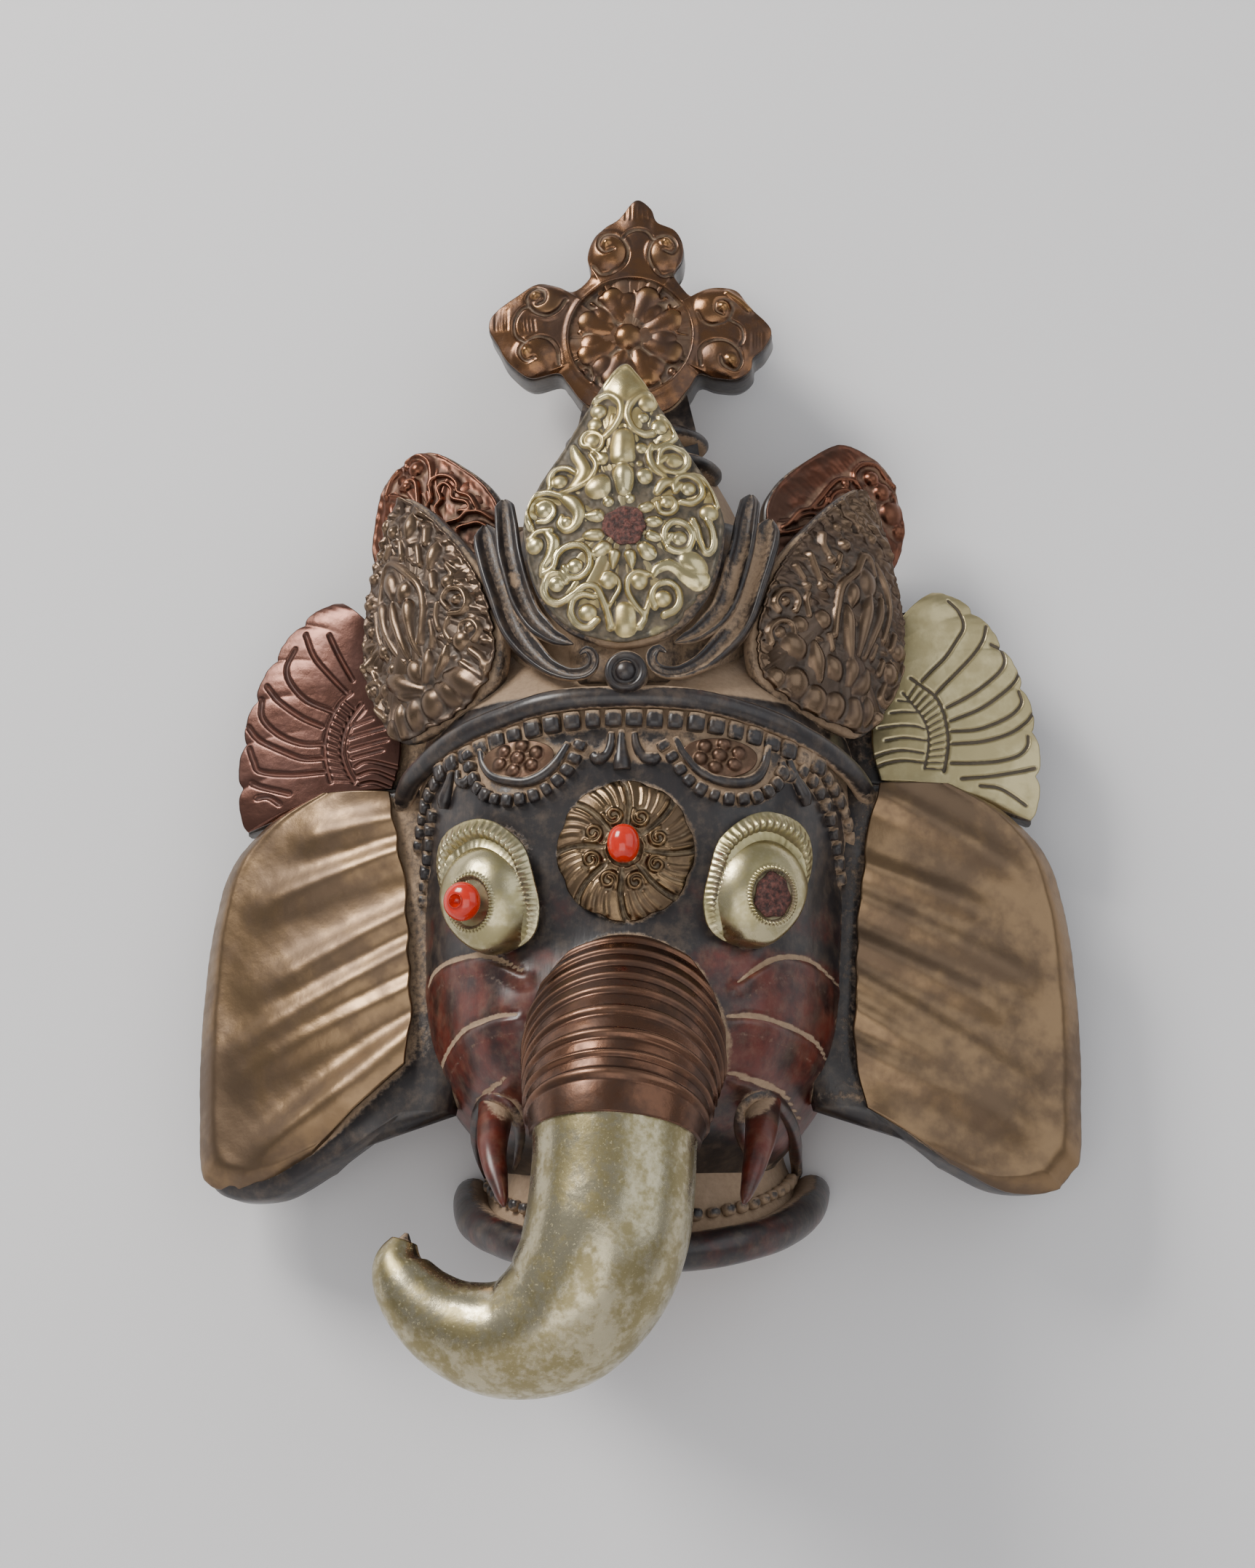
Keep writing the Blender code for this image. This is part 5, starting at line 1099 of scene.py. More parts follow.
strokes["rightLeaf"] = """
r1.2,1 10.6,9 9.6,12.5 7.5,13 4.7,8.4 .1,4.2 -1.7,-2.3 -2.5,-8.6 r1.5 3.4,4.8,1 3.3,2.8,2 2.7,-.4,.9 r1.5
7.7,9,1.4 7.9,6.5,2.9 7.7,3.4,1.7 r1.6 1.1,-1,.9 1.5,-4,1.8 2,-9,1.5 2.7,-13.3,.9 r1.6 8.6,2.9,1.2
7.7,-1.2,1.9 6.2,-6.5,1.7 4.8,-12.4,.9 r1.3 13.2,3.2,.8 12.2,-1.5,1.4 9.6,-7,1.3 7.1,-12.5,.8 r1,.9 11.7,12
15.2,7 16.1,.4 13.8,-6.8 r1.5 3.1,-13.8,1 3.2,-16.6,1.9 2.8,-19.7,1 r1.5 -8.4,-11.9,1 -7.4,-15.6,2.1
-6.1,-19.9,1.1 r1.5 -4,-14.5,.9 -2.3,-17,2.3 -.9,-19,1 r1.4 8.1,-16.3,1.1 6.7,-19.3,2.2 4.5,-21.6,1 b1.1
-16.1,-2.2,1 r1,.7 -17.8,-4.7 -18.8,-2.7 -17.1,.1 -14,.7 -12.5,-1.5 -13.4,-4.2 b1.1 -17.9,-10.3,1.2 r1,.7
-19.9,-13.2 -20.6,-10.2 -18.2,-7.6 -15.1,-7.6 -14.1,-10.2 r1.4 -16.2,-11.7,1.2 -13.8,-13.2,2.6
-11.5,-14.4,1.3 b1.2 -12.4,-7.8,1.8 b1.3 -5.9,-5.4,1.9 b1.5 -12.7,-22.1,2.9 b1.2 -18,-21.5,1.9 b1.1
-15.7,-25.1,1.5 b1.5 -6.8,-25.1,2.8 b1.5 -1,-25.7,2.6 r1.5 4.8,-24.7,1.9 5,-27.4,2.4 3.7,-29.3,1.4 r1.3
9,-23.4,1.3 9.3,-25.6,2 8.9,-28.1,1 b1.2 12.8,-26.7,1.7 b1.4 16.6,-14.8,2.2 b1.3 19.4,-8.7,1.9 r1,.8
14.7,-17.9 13.6,-20.9 15.3,-22.3 17.8,-20.2 r1,.8 13.7,-12.5 12.6,-15.5 r1,.8 18.1,-4.9 16.6,-8.6 r1,.9
21.1,-12.3 20.7,-15.8 17.8,-19.1 r1.1,.8 -3.9,17 -4.4,14.3 -3.4,12 b1.2 -2.6,10.6,1 r1.1,.7 -8.2,11.1
-7.4,7.8 -6.4,4.7 b1.2 -5.8,3.2,1.1 r.9,.6 -12.4,7.5 -10.6,4.4 b1.1 -9.9,2.6,.9 b1.1 .3,19.5,.9 b1.2
2,15.2,1.2 g1,.6 5.9,20.6 5.9,20 b1 11.5,18.8,1 r.9,.7 .2,12.1 -.9,8.5 r.9,.7 -9.7,-4.9 -10.3,-1.1 -9.6,.7
r1,.8 -3.9,-8.9 -2.9,-12.1 r1,.8 11,-9 9.6,-12.1
"""
strokes["leftRear"] = """
b1.5 7.7,16.2,2.1 r1.1,.8 10.8,17 10.2,19.3 7.1,19.7 4.1,17.6 2.8,13.8 3.1,10.5 r1.2,.8 11.5,11.3 10,13.2
7.4,12.4 6.3,8.7 5.6,3.7 b1.3 10.1,11.6,1.4 r1.1,.6 2.8,1.7 3.4,4.6 2.1,7.1 2.8,10.7 1.2,12.9 -2,12.6
-4.4,10.4 -5,7.9 -8.2,6.3 -10.3,3 r1.1,.6 -.2,1.1 .8,4.2 -.6,6.3 .5,9.5 -1.2,10.7 -3.2,8.9 -3.8,6.3 -7.6,4.8
-8.4,2.8 -5.7,2.5 r1.1,.6 -1.9,-2.1 -2.6,-.3 -5.7,.3 -7.7,1.8 -11.1,1.8 -14.6,-.6 r1.1,.6 -4.8,-4.2 -5.7,-2
-8.4,-1.3 -11.1,-1.1 -14.7,-3.5 b1.1 -4.5,-3.8,.7 b1.1 -10.2,-6.5,.9 r1 -1.9,-2.6,.6 -4.8,-6,.6 -8.4,-8.8,.6
-14.7,-10.4,.5 r1 -7.7,-10.5,.6 -14.8,-12.8,.5 r1 -7.7,-12.3,.6 -14.8,-14.5,.5 r.9,.6 15.1,10.1 11.9,9
9.1,6.9 8.6,4.8 r.9,.8 16.8,10.3 15.5,14.3 13.3,16.5
"""
strokes["rightRear"] = """
b1.5 12,11.8,1.9 r1,.6 7.8,9 7,12.4 9.9,15.5 13.8,15.7 16,12.9 18.7,10.6 b1.4 15,8.7,2.2 b1.5 17.7,3.5,2.8
b1.1 19.9,-.7,1.8 r1,.6 -12.3,-3.9 -10.8,-2.9 -7.9,.5 -5.4,1.4 -2.9,4.1 -.3,7.4 2.3,9.9 5.9,10.5 8.4,8.4
r1,.5 -9.3,-2.4 -7.8,-.8 -4.9,-0 -3,-1.2 r1,.5 -.5,3.2 1.1,6.1 4.1,7.4 6.8,6.5 r1,.5 -13.5,-5.5 -9.8,-4.8
-6.2,-3.3 r1,.5 -4.5,1.1 -2,2.5 -.8,4.7 b1.1 4.4,9.1,1.1 r1,.6 16.9,9.5 18.6,7.4 18,5 r.9,.5 20.4,2.9
21.3,.1
"""
strokes["leftFan"] = """
g.9,.5 18.4,40.9 15.6,35.1 12.1,28.8 g.9,.5 24.9,41.8 22.2,35.5 17.7,30 13.8,25.8 g.9,.5 27.5,38.1 29.6,33.9
28.6,29.5 24.1,24.4 17.1,20.9 g.9,.5 34.9,29 31.6,24.9 25.4,20.1 19.7,17.2 g.9,.5 36.2,25.6 35.8,20.8
31.4,16.2 25.2,13.2 19.2,12.6 g.9,.5 39.7,18.9 36.6,15.3 30.4,11.8 24.7,9.3 19.5,9 g.9,.5 39.2,13.3 37.8,9.7
36,7 28.1,5.5 19,5.5 g.9,.5 38.3,4.2 35,2.7 28,.5 g.9,.5 36.7,.2 33.7,.2 30.6,-1.9 g.8,.4 12.5,25.5
15.4,22.9 18,17.9 19,12.8 18.6,7.7 17.3,2.9 g.8,.4 9.8,22.6 13,18 14.4,13.8 14.6,10 13.2,5.6 11.4,2.5 g.6,.3
8.9,21.2 11.7,17.5 13.3,13.8 13.4,9.9 12.2,6 10.6,2.9 g.7,.4 12.5,16.7 7.2,18.7 g.7,.4 12.7,13.9 4.1,16.2
g.7,.4 12.7,10.9 3.4,13.2 g.7,.4 12.1,8.7 4.5,10.6 g.7,.4 11.3,6.5 7.9,7.8 .1,5.8 g.7,.4 10.8,4.2 6.5,5.2
.5,2.7 g.7,.4 10.1,2 6.5,2.4 .9,.1 g.5,.3 11.2,20.8 14.3,23.5 g.5,.3 12.2,19.4 15.6,22.1 g.5,.3 13.1,18
16.4,20.4 g.5,.3 13.7,16.4 17.3,18.7 g.5,.3 14.3,14.7 17.8,16.8 g.5,.3 14.7,13.1 18.1,14.9 g.5,.3 14.7,11.3
18.5,13 g.5,.3 14.7,9.6 18.4,11 g.5,.3 14.1,7.8 18.3,9.1 g.5,.3 13.6,6.1 18,7.1 g.5,.3 12.8,4.5 17.4,5.2
g.5,.3 11.9,2.9 16.8,3.3
"""
strokes["rightFan"] = """
g.8,.4 19.5,47.2 22.1,44.5 23.1,40.6 21.1,36.7 18.1,32.2 14.7,28.7 12.2,26 g.8,.4 29,41.2 27.9,37.3
25.3,33.3 21.4,28.9 18,25.4 15.9,23.1 g.8,.4 30,36.5 32.5,35.3 33.4,32.3 31.9,29.3 28.1,25.7 23.8,22.5
18.3,19.4 g.8,.4 37.4,30.3 35.6,26.8 31.4,22.8 26.3,19.2 19.1,16 g.8,.4 36.8,24.7 37.4,21.7 35,18.6
30.4,15.9 25.3,14 19.3,13.4 g.8,.4 40.3,19.2 38.3,16.6 33.7,13.4 26.9,11.1 19.4,10.2 g.8,.4 38.9,13.2
38.6,10.6 36.1,8 31,6.3 24.7,5.5 19.1,5.3 g.8,.4 40.4,5.1 35.1,3.7 29.3,2.4 21.7,1.4 g.8,.4 26.3,-.2
30.9,-.5 34.6,-2.3 37.9,-4.5 g.8,.4 9.5,26.8 13,24.3 15.5,22.3 17.3,18.9 18.2,15.1 18.6,10.8 18.1,6.6
17.4,3.1 g.7,.3 7.5,23.1 10.4,19.5 12.4,16.6 13.6,13.2 13.6,9 12.6,3.8 g.6,.3 4.5,17.9 7.5,18.2 10.8,18.1
g.6,.3 1.6,14.1 6.2,14.7 10.3,14.6 12.8,13.9 g.6,.3 3.2,11 7.8,11.6 13.6,10.9 g.6,.3 -.6,6.4 3.1,7.8 7.3,8.4
12.7,7.7 g.6,.3 -.4,3.4 2.7,5 7.3,5.8 12.7,5.3 g.6,.3 6.3,21.1 9.2,20.8 g.5,.3 8.8,21.9 11,25.3 g.5,.3
9.7,20.7 12.5,24.2 g.5,.3 10.6,19.5 13.9,23.1 g.5,.3 11.5,18.3 15.4,21.9 g.5,.3 12.3,17.1 16.3,20.3 g.5,.3
13,15.8 17.2,18.7 g.5,.3 13.5,14.4 17.6,16.8 g.5,.3 14,13 18,15 g.5,.3 13.9,11.4 18.1,13.1 g.5,.3 13.9,9.9
18.2,11.1 g.5,.3 13.8,8.4 18.1,9.2 g.5,.3 13.5,6.9 17.9,7.3 g.5,.3 13.3,5.4 17.6,5.4 g.5,.3 13.1,3.9
17.1,3.6
"""


def polarSheet(plane, edge, middle, heightAt, rings):
    # a sheet drawn as rings from its middle out to its edge; heightAt gives height and hollow
    wall = sheetSizes["wall"]
    shares = np.linspace(0, 1, rings + 1)[1:] ** 0.92
    shape = newShape()
    hub = np.asarray(middle, float)
    spots = hub + (edge[None] - hub) * shares[:, None, None]
    u, v = spots[..., 0], spots[..., 1]
    height, hollow = heightAt(u, v, np.repeat(shares[:, None], len(edge), 1))
    top = onPlane(plane, u, v, height)
    under = []
    for k, s in ((-1, 1.0), (-1, 0.997), (int(rings * 0.6), None), (int(rings * 0.25), None)):
        row = spots[k] if s is None else hub + (edge - hub) * s
        under.append(onPlane(plane, row[:, 0], row[:, 1], height[k] - wall * (0.5 if s == 1.0 else 1.0)))
    loops = np.concatenate([top, np.stack(under)])
    hollows = np.concatenate([hollow, np.zeros((len(under), len(edge)))])
    middleHeight, middleHollow = heightAt(hub[0], hub[1], np.zeros(()))
    addClosed(shape, loops, onPlane(plane, *hub, middleHeight), onPlane(plane, *hub, middleHeight - wall),
              hollow=np.concatenate([hollows.ravel(), [float(middleHollow)], [0.0]]))
    return shape


def ragged(outline, count, amount, seed):
    # a hand-cut edge
    edge = runThrough(outline, count, closed=True)
    turns = fullTurn(count)
    rolls = np.random.default_rng(seed)
    wobble = sum(np.sin(turns * n + rolls.uniform(0, 6.28)) / n ** 0.5 for n in (7, 13, 22, 37, 61)) / 2.2
    middle = edge.mean(0)
    return middle + (edge - middle) * (1 - amount * (0.5 + 0.5 * wobble))[:, None]


def leafSheet(leaf, side, text, rings, count, ground=0.0, seed=1, tear=None):
    outline = leaf.get("outline") or whole(leaf["half"])
    edge = ragged(outline, count, 0.018, seed)
    if tear:
        # a torn stretch of the edge: place u, v, width and depth in millimetres
        off = np.hypot(edge[:, 0] - tear[0], edge[:, 1] - tear[1])
        bite = tear[3] * np.clip(1 - (off / tear[2]) ** 2, 0, 1) * (0.8 + 0.2 * np.sin(off * 3.1))
        away = np.hypot(*(edge - leaf["centre"]).T)
        edge = leaf["centre"] + (edge - leaf["centre"]) * (1 - bite / away)[:, None]
    low, high = edge.min(0) - 1, edge.max(0) + 1
    relief = blankRelief(low[0], high[0], low[1], high[1])
    beatAll(relief, text, leaf["lift"], leaf["broad"])

    def heightAt(u, v, s):
        rise, hollow = readRelief(relief, u, v)
        lip = 0.35 * bell(s, 0.985, 0.02)
        dents = 0.22 * rippled(u, v, 0 * u, 6.0, seed) + 0.08 * rippled(u, v, 0 * u, 2.0, seed + 5)
        base = -sheetSizes["dome"] * s * s
        floor = ground * np.clip(1 - rise / 0.45, 0, 1)
        # small veins fill the ground between the strokes
        veins = leaf["veins"] * np.abs(rippled(u, v, 0 * u, 1.1, seed + 9)) * np.clip(1 - rise / 0.8, 0, 1)
        return base + rise + lip + dents + veins, hollow + floor - veins * 0.35

    return polarSheet(turnedPlane(*leaf["plane"], side=side), edge, leaf["centre"], heightAt, rings)


front = leafSheet(frontLeaf, 1, strokes["frontLeaf"], 100, 380, 0.22, 3, (20, -22, 7, 2.5))
showPiece("crownFrontSheet", front, paleMetal, ["crown_front_sheet"])
for side, word in ((-1, "Left"), (1, "Right")):
    made = leafSheet(sideLeaf, side, strokes[word.lower() + "Leaf"], 80, 300, 0.0, 5 + side)
    showPiece("crown" + word + "Sheet", made, dullBronze, ["crown_" + word.lower() + "_sheet"])
    made = leafSheet(rearLeaf, side, strokes[word.lower() + "Rear"], 50, 220, 0.0, 9 + side)
    showPiece("rear" + word + "Sheet", made, redCopper, ["rear_" + word.lower() + "_sheet"])


# finial: a trefoil round a medallion

finialSizes = {"ring": (14.9, 18.2), "ringRise": 1.7, "ground": 0.4, "armRise": 1.2, "rings": 110,
               "petals": 8, "petalRise": 1.7,
               "petal": ((4.8, 1.9), (8, 3.2), (11.3, 3.4))}  # radius, half width
volutes = [(-5.5, 23.6, 5.6, 1.5), (8.6, 22.6, 5.2, 1.4), (-20.8, 9.6, 5.2, 1.4), (-24.4, -4.6, 5.6, 1.4),
           (21.3, 7.2, 5.2, 1.4), (23.6, -6, 5.6, 1.4)]  # u, v, radius, rise


def finialSheet():
    edge = ragged(finial["outline"], 400, 0.012, 21)
    relief = blankRelief(-38, 37, -22, 38.5)
    beatAll(relief, strokes["finial"], 1.1, 1.1)
    for k in range(finialSizes["petals"]):
        turn = 2 * math.pi * (k + 0.5) / finialSizes["petals"]
        petal = [(r * math.cos(turn), r * math.sin(turn), wide) for r, wide in finialSizes["petal"]]
        beat(relief, petal, finialSizes["petalRise"], sharp=0.5)
    for u, v, wide, rise in volutes:
        beat(relief, [(u, v, wide)], rise, sharp=1.0)

    def heightAt(u, v, s):
        rise, hollow = readRelief(relief, u, v)
        far = np.hypot(u, v)
        inner, outer = finialSizes["ring"]
        band = np.clip((far - inner) / 0.8, 0, 1) * np.clip((outer + 3.0 - far) / 5.0, 0, 1)
        arms = finialSizes["armRise"] * np.clip((far - outer + 1) / 4, 0, 1) * (1 - np.asarray(s) ** 8)
        dip = 0.7 * bell(far, inner - 0.3, 0.7)
        dents = 0.25 * rippled(u, v, 0 * u, 6.0, 31)
        return (finialSizes["ground"] + rise + band * finialSizes["ringRise"] * (1 - np.asarray(s) ** 10)
                + arms + dents, hollow + dip * 0.7)

    shape = polarSheet(turnedPlane(*finial["plane"]), edge, (0, 0), heightAt, finialSizes["rings"])
    showPiece("finialSheet", shape, goldenCopper, ["finial_sheet"])


finialSheet()


# ears and fans

earFolds = {"left": [(3.3, -7.5, 28.2, -11.4), (3.2, -16.5, 39.2, -26.9), (-1, -31.3, 37.1, -47.9),
                     (-4.2, -39.7, 48.1, -63.2), (-5.1, -48.5, 45.5, -69.3), (-6, -58.8, 42.6, -90.7),
                     (-6.1, -64.6, 37, -90.4)],
            "right": [(6.6, -4.3, 43.6, -22.6), (1.1, -21.7, 34.2, -32.8), (0.2, -29.8, 47.6, -49.7),
                      (0.1, -40.8, 36.7, -56.2), (-0.8, -49.6, 49.1, -78.1), (0.6, -58.3, 39.2, -79.3),
                      (4.2, -68.9, 43.6, -85.6)]}
earSizes = {"rise": 2.4, "width": 3.5, "spread": 1.0, "rows": 190, "columns": 120}
earNotches = {"left": (49.5, -92, 5.5, 4.0), "right": (52, -93, 4.0, 1.5)}      # u, v, width, depth


def foldedRise(u, v, folds):
    total = np.zeros(np.shape(u))
    for k, (a, b, c, d) in enumerate(folds):
        length2 = (c - a) ** 2 + (d - b) ** 2
        t = ((u - a) * (c - a) + (v - b) * (d - b)) / length2
        off = ((u - a) * (d - b) - (v - b) * (c - a)) / math.sqrt(length2)
        wide = earSizes["width"] + earSizes["spread"] * np.clip(t, 0, 1)
        fade = np.clip((1.16 - t) / 0.42, 0, 1)
        strong = (1.0 if k % 2 else 0.85) * (1 - 0.25 * np.clip(t, 0, 1))
        total = total + earSizes["rise"] * strong * fade * fade * (3 - 2 * fade) * np.exp(-(off / wide) ** 2)
    return total


def plateSheet(plate, side, rows, columns, heightAt, notch=None):
    plane = turnedPlane(*plate["plane"], side=side)
    inner = runThrough(plate.get("sheetRoot", plate["root"]), rows)
    outer = runThrough(plate.get("sheetMargin", plate["margin"]), rows)
    pull = np.zeros(rows)
    if plate is fan:
        pull = 1.3 * (1 - np.abs(np.sin(np.linspace(0, math.pi * 6, rows)))) ** 2
    for u, v, wide, deep in [notch] if notch else []:
        off = np.hypot(outer[:, 0] - u, outer[:, 1] - v)
        pull = np.maximum(pull, deep * np.clip(1 - (off / wide) ** 2, 0, 1))
    length = np.hypot(*(outer - inner).T)
    rag = 0.25 * np.abs(rippled(outer[:, 0], outer[:, 1], 0 * pull, 1.2, 17))
    outer = inner + (outer - inner) * (1 - (pull + rag) / length)[:, None]
    shares = np.linspace(0, 1, columns)
    u, v, span = [np.stack(part, axis=1) for part in zip(*[plateAt(plate, inner, outer, t) for t in shares])]
    base = np.stack([plateHeight(plate, span[:, k], t) for k, t in enumerate(shares)], axis=1)
    rise, hollow = heightAt(u, v, np.repeat(shares[None], rows, 0))
    height = base + rise
    picks = [columns - 1, columns - 2, int(columns * 0.6), int(columns * 0.3), 0]
    low = np.stack([height[:, k] - sheetSizes["wall"] * (0.6 if k == columns - 1 else 1.0) for k in picks],
                   axis=1)
    loops = np.concatenate([onPlane(plane, u, v, height), onPlane(plane, u[:, picks], v[:, picks], low)],
                           axis=1)
    shape = newShape()
    hollows = np.concatenate([hollow, np.zeros(low.shape)], axis=1)
    addLoft(shape, loops, hollow=hollows)
    return shape


def earRelief(word):
    def heightAt(u, v, t):
        dents = 0.3 * rippled(u, v, 0 * u, 9.0, 41) + 0.08 * rippled(u, v, 0 * u, 2.5, 43)
        lip = 0.5 * bell(t, 0.9, 0.05)
        return foldedRise(u, v, earFolds[word]) + dents + lip, 0 * u
    return heightAt


def fanRelief(relief):
    def heightAt(u, v, t):
        rise, hollow = readRelief(relief, u, v)
        dents = 0.2 * rippled(u, v, 0 * u, 7.0, 47)
        return 0.9 + rise + dents, hollow * 1.4
    return heightAt


leftEarSheet = {**ear, "sheetRoot": [(5, 0), (1.5, -14), (-1, -32), (-2, -50), (-2.3, -60), (-1.2, -68.5)],
                "sheetMargin": ear["margin"][:-2] + [(40, -95.3), (25, -89.3)]}
for side, word in ((-1, "left"), (1, "right")):
    plate = leftEarSheet if side < 0 else ear
    made = plateSheet(plate, side, earSizes["rows"], earSizes["columns"], earRelief(word), earNotches[word])
    showPiece("ear" + word.title() + "Sheet", made, agedBrass, ["ear_" + word + "_sheet"])
    relief = blankRelief(-6, 46, -14, 54)
    beatAll(relief, strokes[word + "Fan"])
    made = plateSheet(fan, side, 190, 120, fanRelief(relief))
    metal, slot = (brownCopper, "brown_copper") if word == "left" else (fanMetal, "white_metal")
    showPiece("fan" + word.title() + "Sheet", made, metal, ["fan_" + word + "_sheet"])


# flower on the forehead

rosetteSizes = {"x": 0.4, "z": -50.2, "wide": 16.2, "tall": 16.9, "petals": 8, "stand": 1.3, "swell": 2.6}


def rosettePetals():
    relief = blankRelief(-18, 18, -18, 18, 0.15)
    step = 2 * math.pi / rosetteSizes["petals"]
    for k in range(rosetteSizes["petals"]):
        facing = k * step + 0.26

        def polar(radius, turn):
            return radius * math.cos(facing + turn), radius * math.sin(facing + turn)

        # the snail at the petal's root
        snail = [(1.9 * (1 - t / 1.5) + 0.35, t) for t in np.linspace(0, 1.25, 22)]
        cu, cv = polar(8.4, 0.05)
        curl = [(cu + r * math.cos(facing + 2 + 6.28 * t), cv + r * math.sin(facing + 2 + 6.28 * t), 0.55)
                for r, t in snail]
        beat(relief, curl, 1.0)
        # ribs that sweep from the snail out to the rim
        for j, (start, bendBy, reach, wide) in enumerate((
                (-0.30, 0.10, 15.2, 0.8), (-0.16, 0.12, 15.9, 0.9), (0.0, 0.13, 16.0, 0.95),
                (0.15, 0.10, 15.6, 0.85))):
            rib = [(*polar(r, start * (0.75 + 0.25 * r / 16) + bendBy * ((r - 9) / 7) ** 2),
                    wide * (0.7 + 0.5 * (r - 9) / 7))
                   for r in np.linspace(9.5 + 1.2 * abs(j - 1.5), reach, 7)]
            beat(relief, rib, 0.55)
        beat(relief, [(*polar(r, -0.30 - 0.02 * r), 0.7) for r in np.linspace(5.2, 9.5, 5)], 0.7)
        # the cut between two petals
        cut = [(*polar(r, -step / 2 + 0.14 * ((r - 5) / 11) ** 2), 0.55 + 0.3 * (r - 5) / 11)
               for r in np.linspace(5, 16.6, 9)]
        beat(relief, cut, 1.3, "cut", 0.9)
    return relief


def addRosette():
    relief = rosettePetals()
    turns = fullTurn(330)
    step = 2 * math.pi / rosetteSizes["petals"]
    edge = 1 - 0.035 * np.abs(np.cos((turns - 0.26 - 0.14) * rosetteSizes["petals"] / 2)) ** 8
    shares = np.linspace(0, 1, 71)[1:]
    u = rosetteSizes["wide"] * shares[:, None] * np.cos(turns) * edge
    v = rosetteSizes["tall"] * shares[:, None] * np.sin(turns) * edge
    rise, hollow = readRelief(relief, u, v)
    s = np.repeat(shares[:, None], len(turns), 1)
    rise = (rise + rosetteSizes["swell"] * (1 - s ** 4) * np.clip(s / 0.3, 0.35, 1)
            + 0.8 * bell(s, 0.27, 0.035))
    rise = rise + 0.15 * rippled(u, v, 0 * u, 3.0, 51)
    stand = rosetteSizes["stand"]
    x, z = rosetteSizes["x"] + u, rosetteSizes["z"] + v
    # the sheet is a flat plate laid over the brow: it follows the face loosely
    depth = faceDepth(x * 0.9, rosetteSizes["z"] + v * 0.8)
    top = at(x, depth + stand + rise, z)
    under = [at(x[k], depth[k] + stand + rise[k] - 0.7, z[k]) for k in (-1, -2, 30, 10)]
    under[0] = at(x[-1], depth[-1] + stand + rise[-1] - 0.35, z[-1])
    loops = np.concatenate([top, np.stack(under)])
    marks = np.concatenate([hollow, np.zeros((4, len(turns)))])
    shape = newShape()
    hub = at(rosetteSizes["x"], faceDepth(0, rosetteSizes["z"]) + stand + 0.9, rosetteSizes["z"])
    addClosed(shape, loops, hub, hub + np.array([0, 0.7 * mm, 0]),
              hollow=np.concatenate([marks.ravel(), [0.3, 0.0]]))
    showPiece("foreheadFlower", shape, rosetteBrass, ["rosette"])


addRosette()


# eyes

eyes = {"left": (-31.8, -57.5), "right": (31.0, -57.0)}
eyeSizes = {"yaw": 26, "pitch": -8, "stand": 3.4, "ball": (0.8, -4.2), "half": (12.2, 14.0), "rise": 8.6,
            "flat": 0.44, "rim": 0.4, "lid": 3.0, "flutes": 62, "rings": 62}
eyeOutline = [(-12.5, 1), (-10, 9), (-3, 15), (4, 16.3), (11, 13.5), (13.8, 7), (12.6, -1), (9.2, -9),
              (3, -15.5), (-4, -16), (-11, -13.2), (-13.5, -7)]


def eyePlane(word):
    x, z = eyes[word]
    side = -1 if word == "left" else 1
    return turnedPlane(abs(x), float(faceDepth(x, z)) + eyeSizes["stand"], z, eyeSizes["yaw"],
                       eyeSizes["pitch"], side)


def eyeHeight(u, v, s):
    bu, bv = eyeSizes["ball"]
    off = np.hypot((u - bu) / eyeSizes["half"][0], (v - bv) / eyeSizes["half"][1])
    turn = np.arctan2(v - bv, -(u - bu))
    ball = eyeSizes["rise"] * np.sqrt(np.maximum(0.0, 1 - np.maximum(eyeSizes["flat"], off) ** 2))
    # the upper and inner lid is a fluted roll
    upper = np.clip(0.5 + 0.75 * np.sin(turn + 0.45), 0, 1)
    flutes = 0.32 * np.cos(turn * eyeSizes["flutes"])
    lid = upper * (eyeSizes["lid"] * bell(s, 0.85, 0.11) + flutes * bell(s, 0.86, 0.1))
    pupil = 0.55 * bell(off, eyeSizes["flat"] + 0.03, 0.035) * (1 + 0.6 * np.cos(turn * 46))
    seat = -0.7 * (off < eyeSizes["flat"] - 0.03)
    height = np.maximum((ball + pupil + seat) * (1 - np.asarray(s) ** 26), lid) + eyeSizes["rim"]
    hollow = 0.5 * bell(off, eyeSizes["flat"] - 0.02, 0.03) + 0.6 * bell(off, 1.0, 0.035) * upper
    hollow = hollow - flutes * upper * bell(s, 0.86, 0.1)
    return height, hollow


def addEye(word):
    edge = ragged(eyeOutline, 420, 0.012, 61)

    def heightAt(u, v, s):
        height, hollow = eyeHeight(u, v, s)
        return height + 0.12 * rippled(u, v, 0 * u, 3.0, 63), hollow

    shape = polarSheet(eyePlane(word), edge, eyeSizes["ball"], heightAt, eyeSizes["rings"])
    showPiece("eye" + word.title(), shape, eyeMetal, ["eye_" + word])


eyeMetal = beatenMetal("eyeMetal", "#bdb390 #a49a72 #cdc6a8 #3b3226", dust="#6d5a42", grimeShare=0.85,
                       gloss=0.26, matt=0.36, patch=9.0, sheltered=0.7)
addEye("left")
addEye("right")


# plaques with a small flower, hung under the band

plaques = {"left": (-25.2, -26.2), "right": (22.6, -26.6)}
plaqueSizes = {"wide": 8.7, "up": 3.7, "down": 5.9}


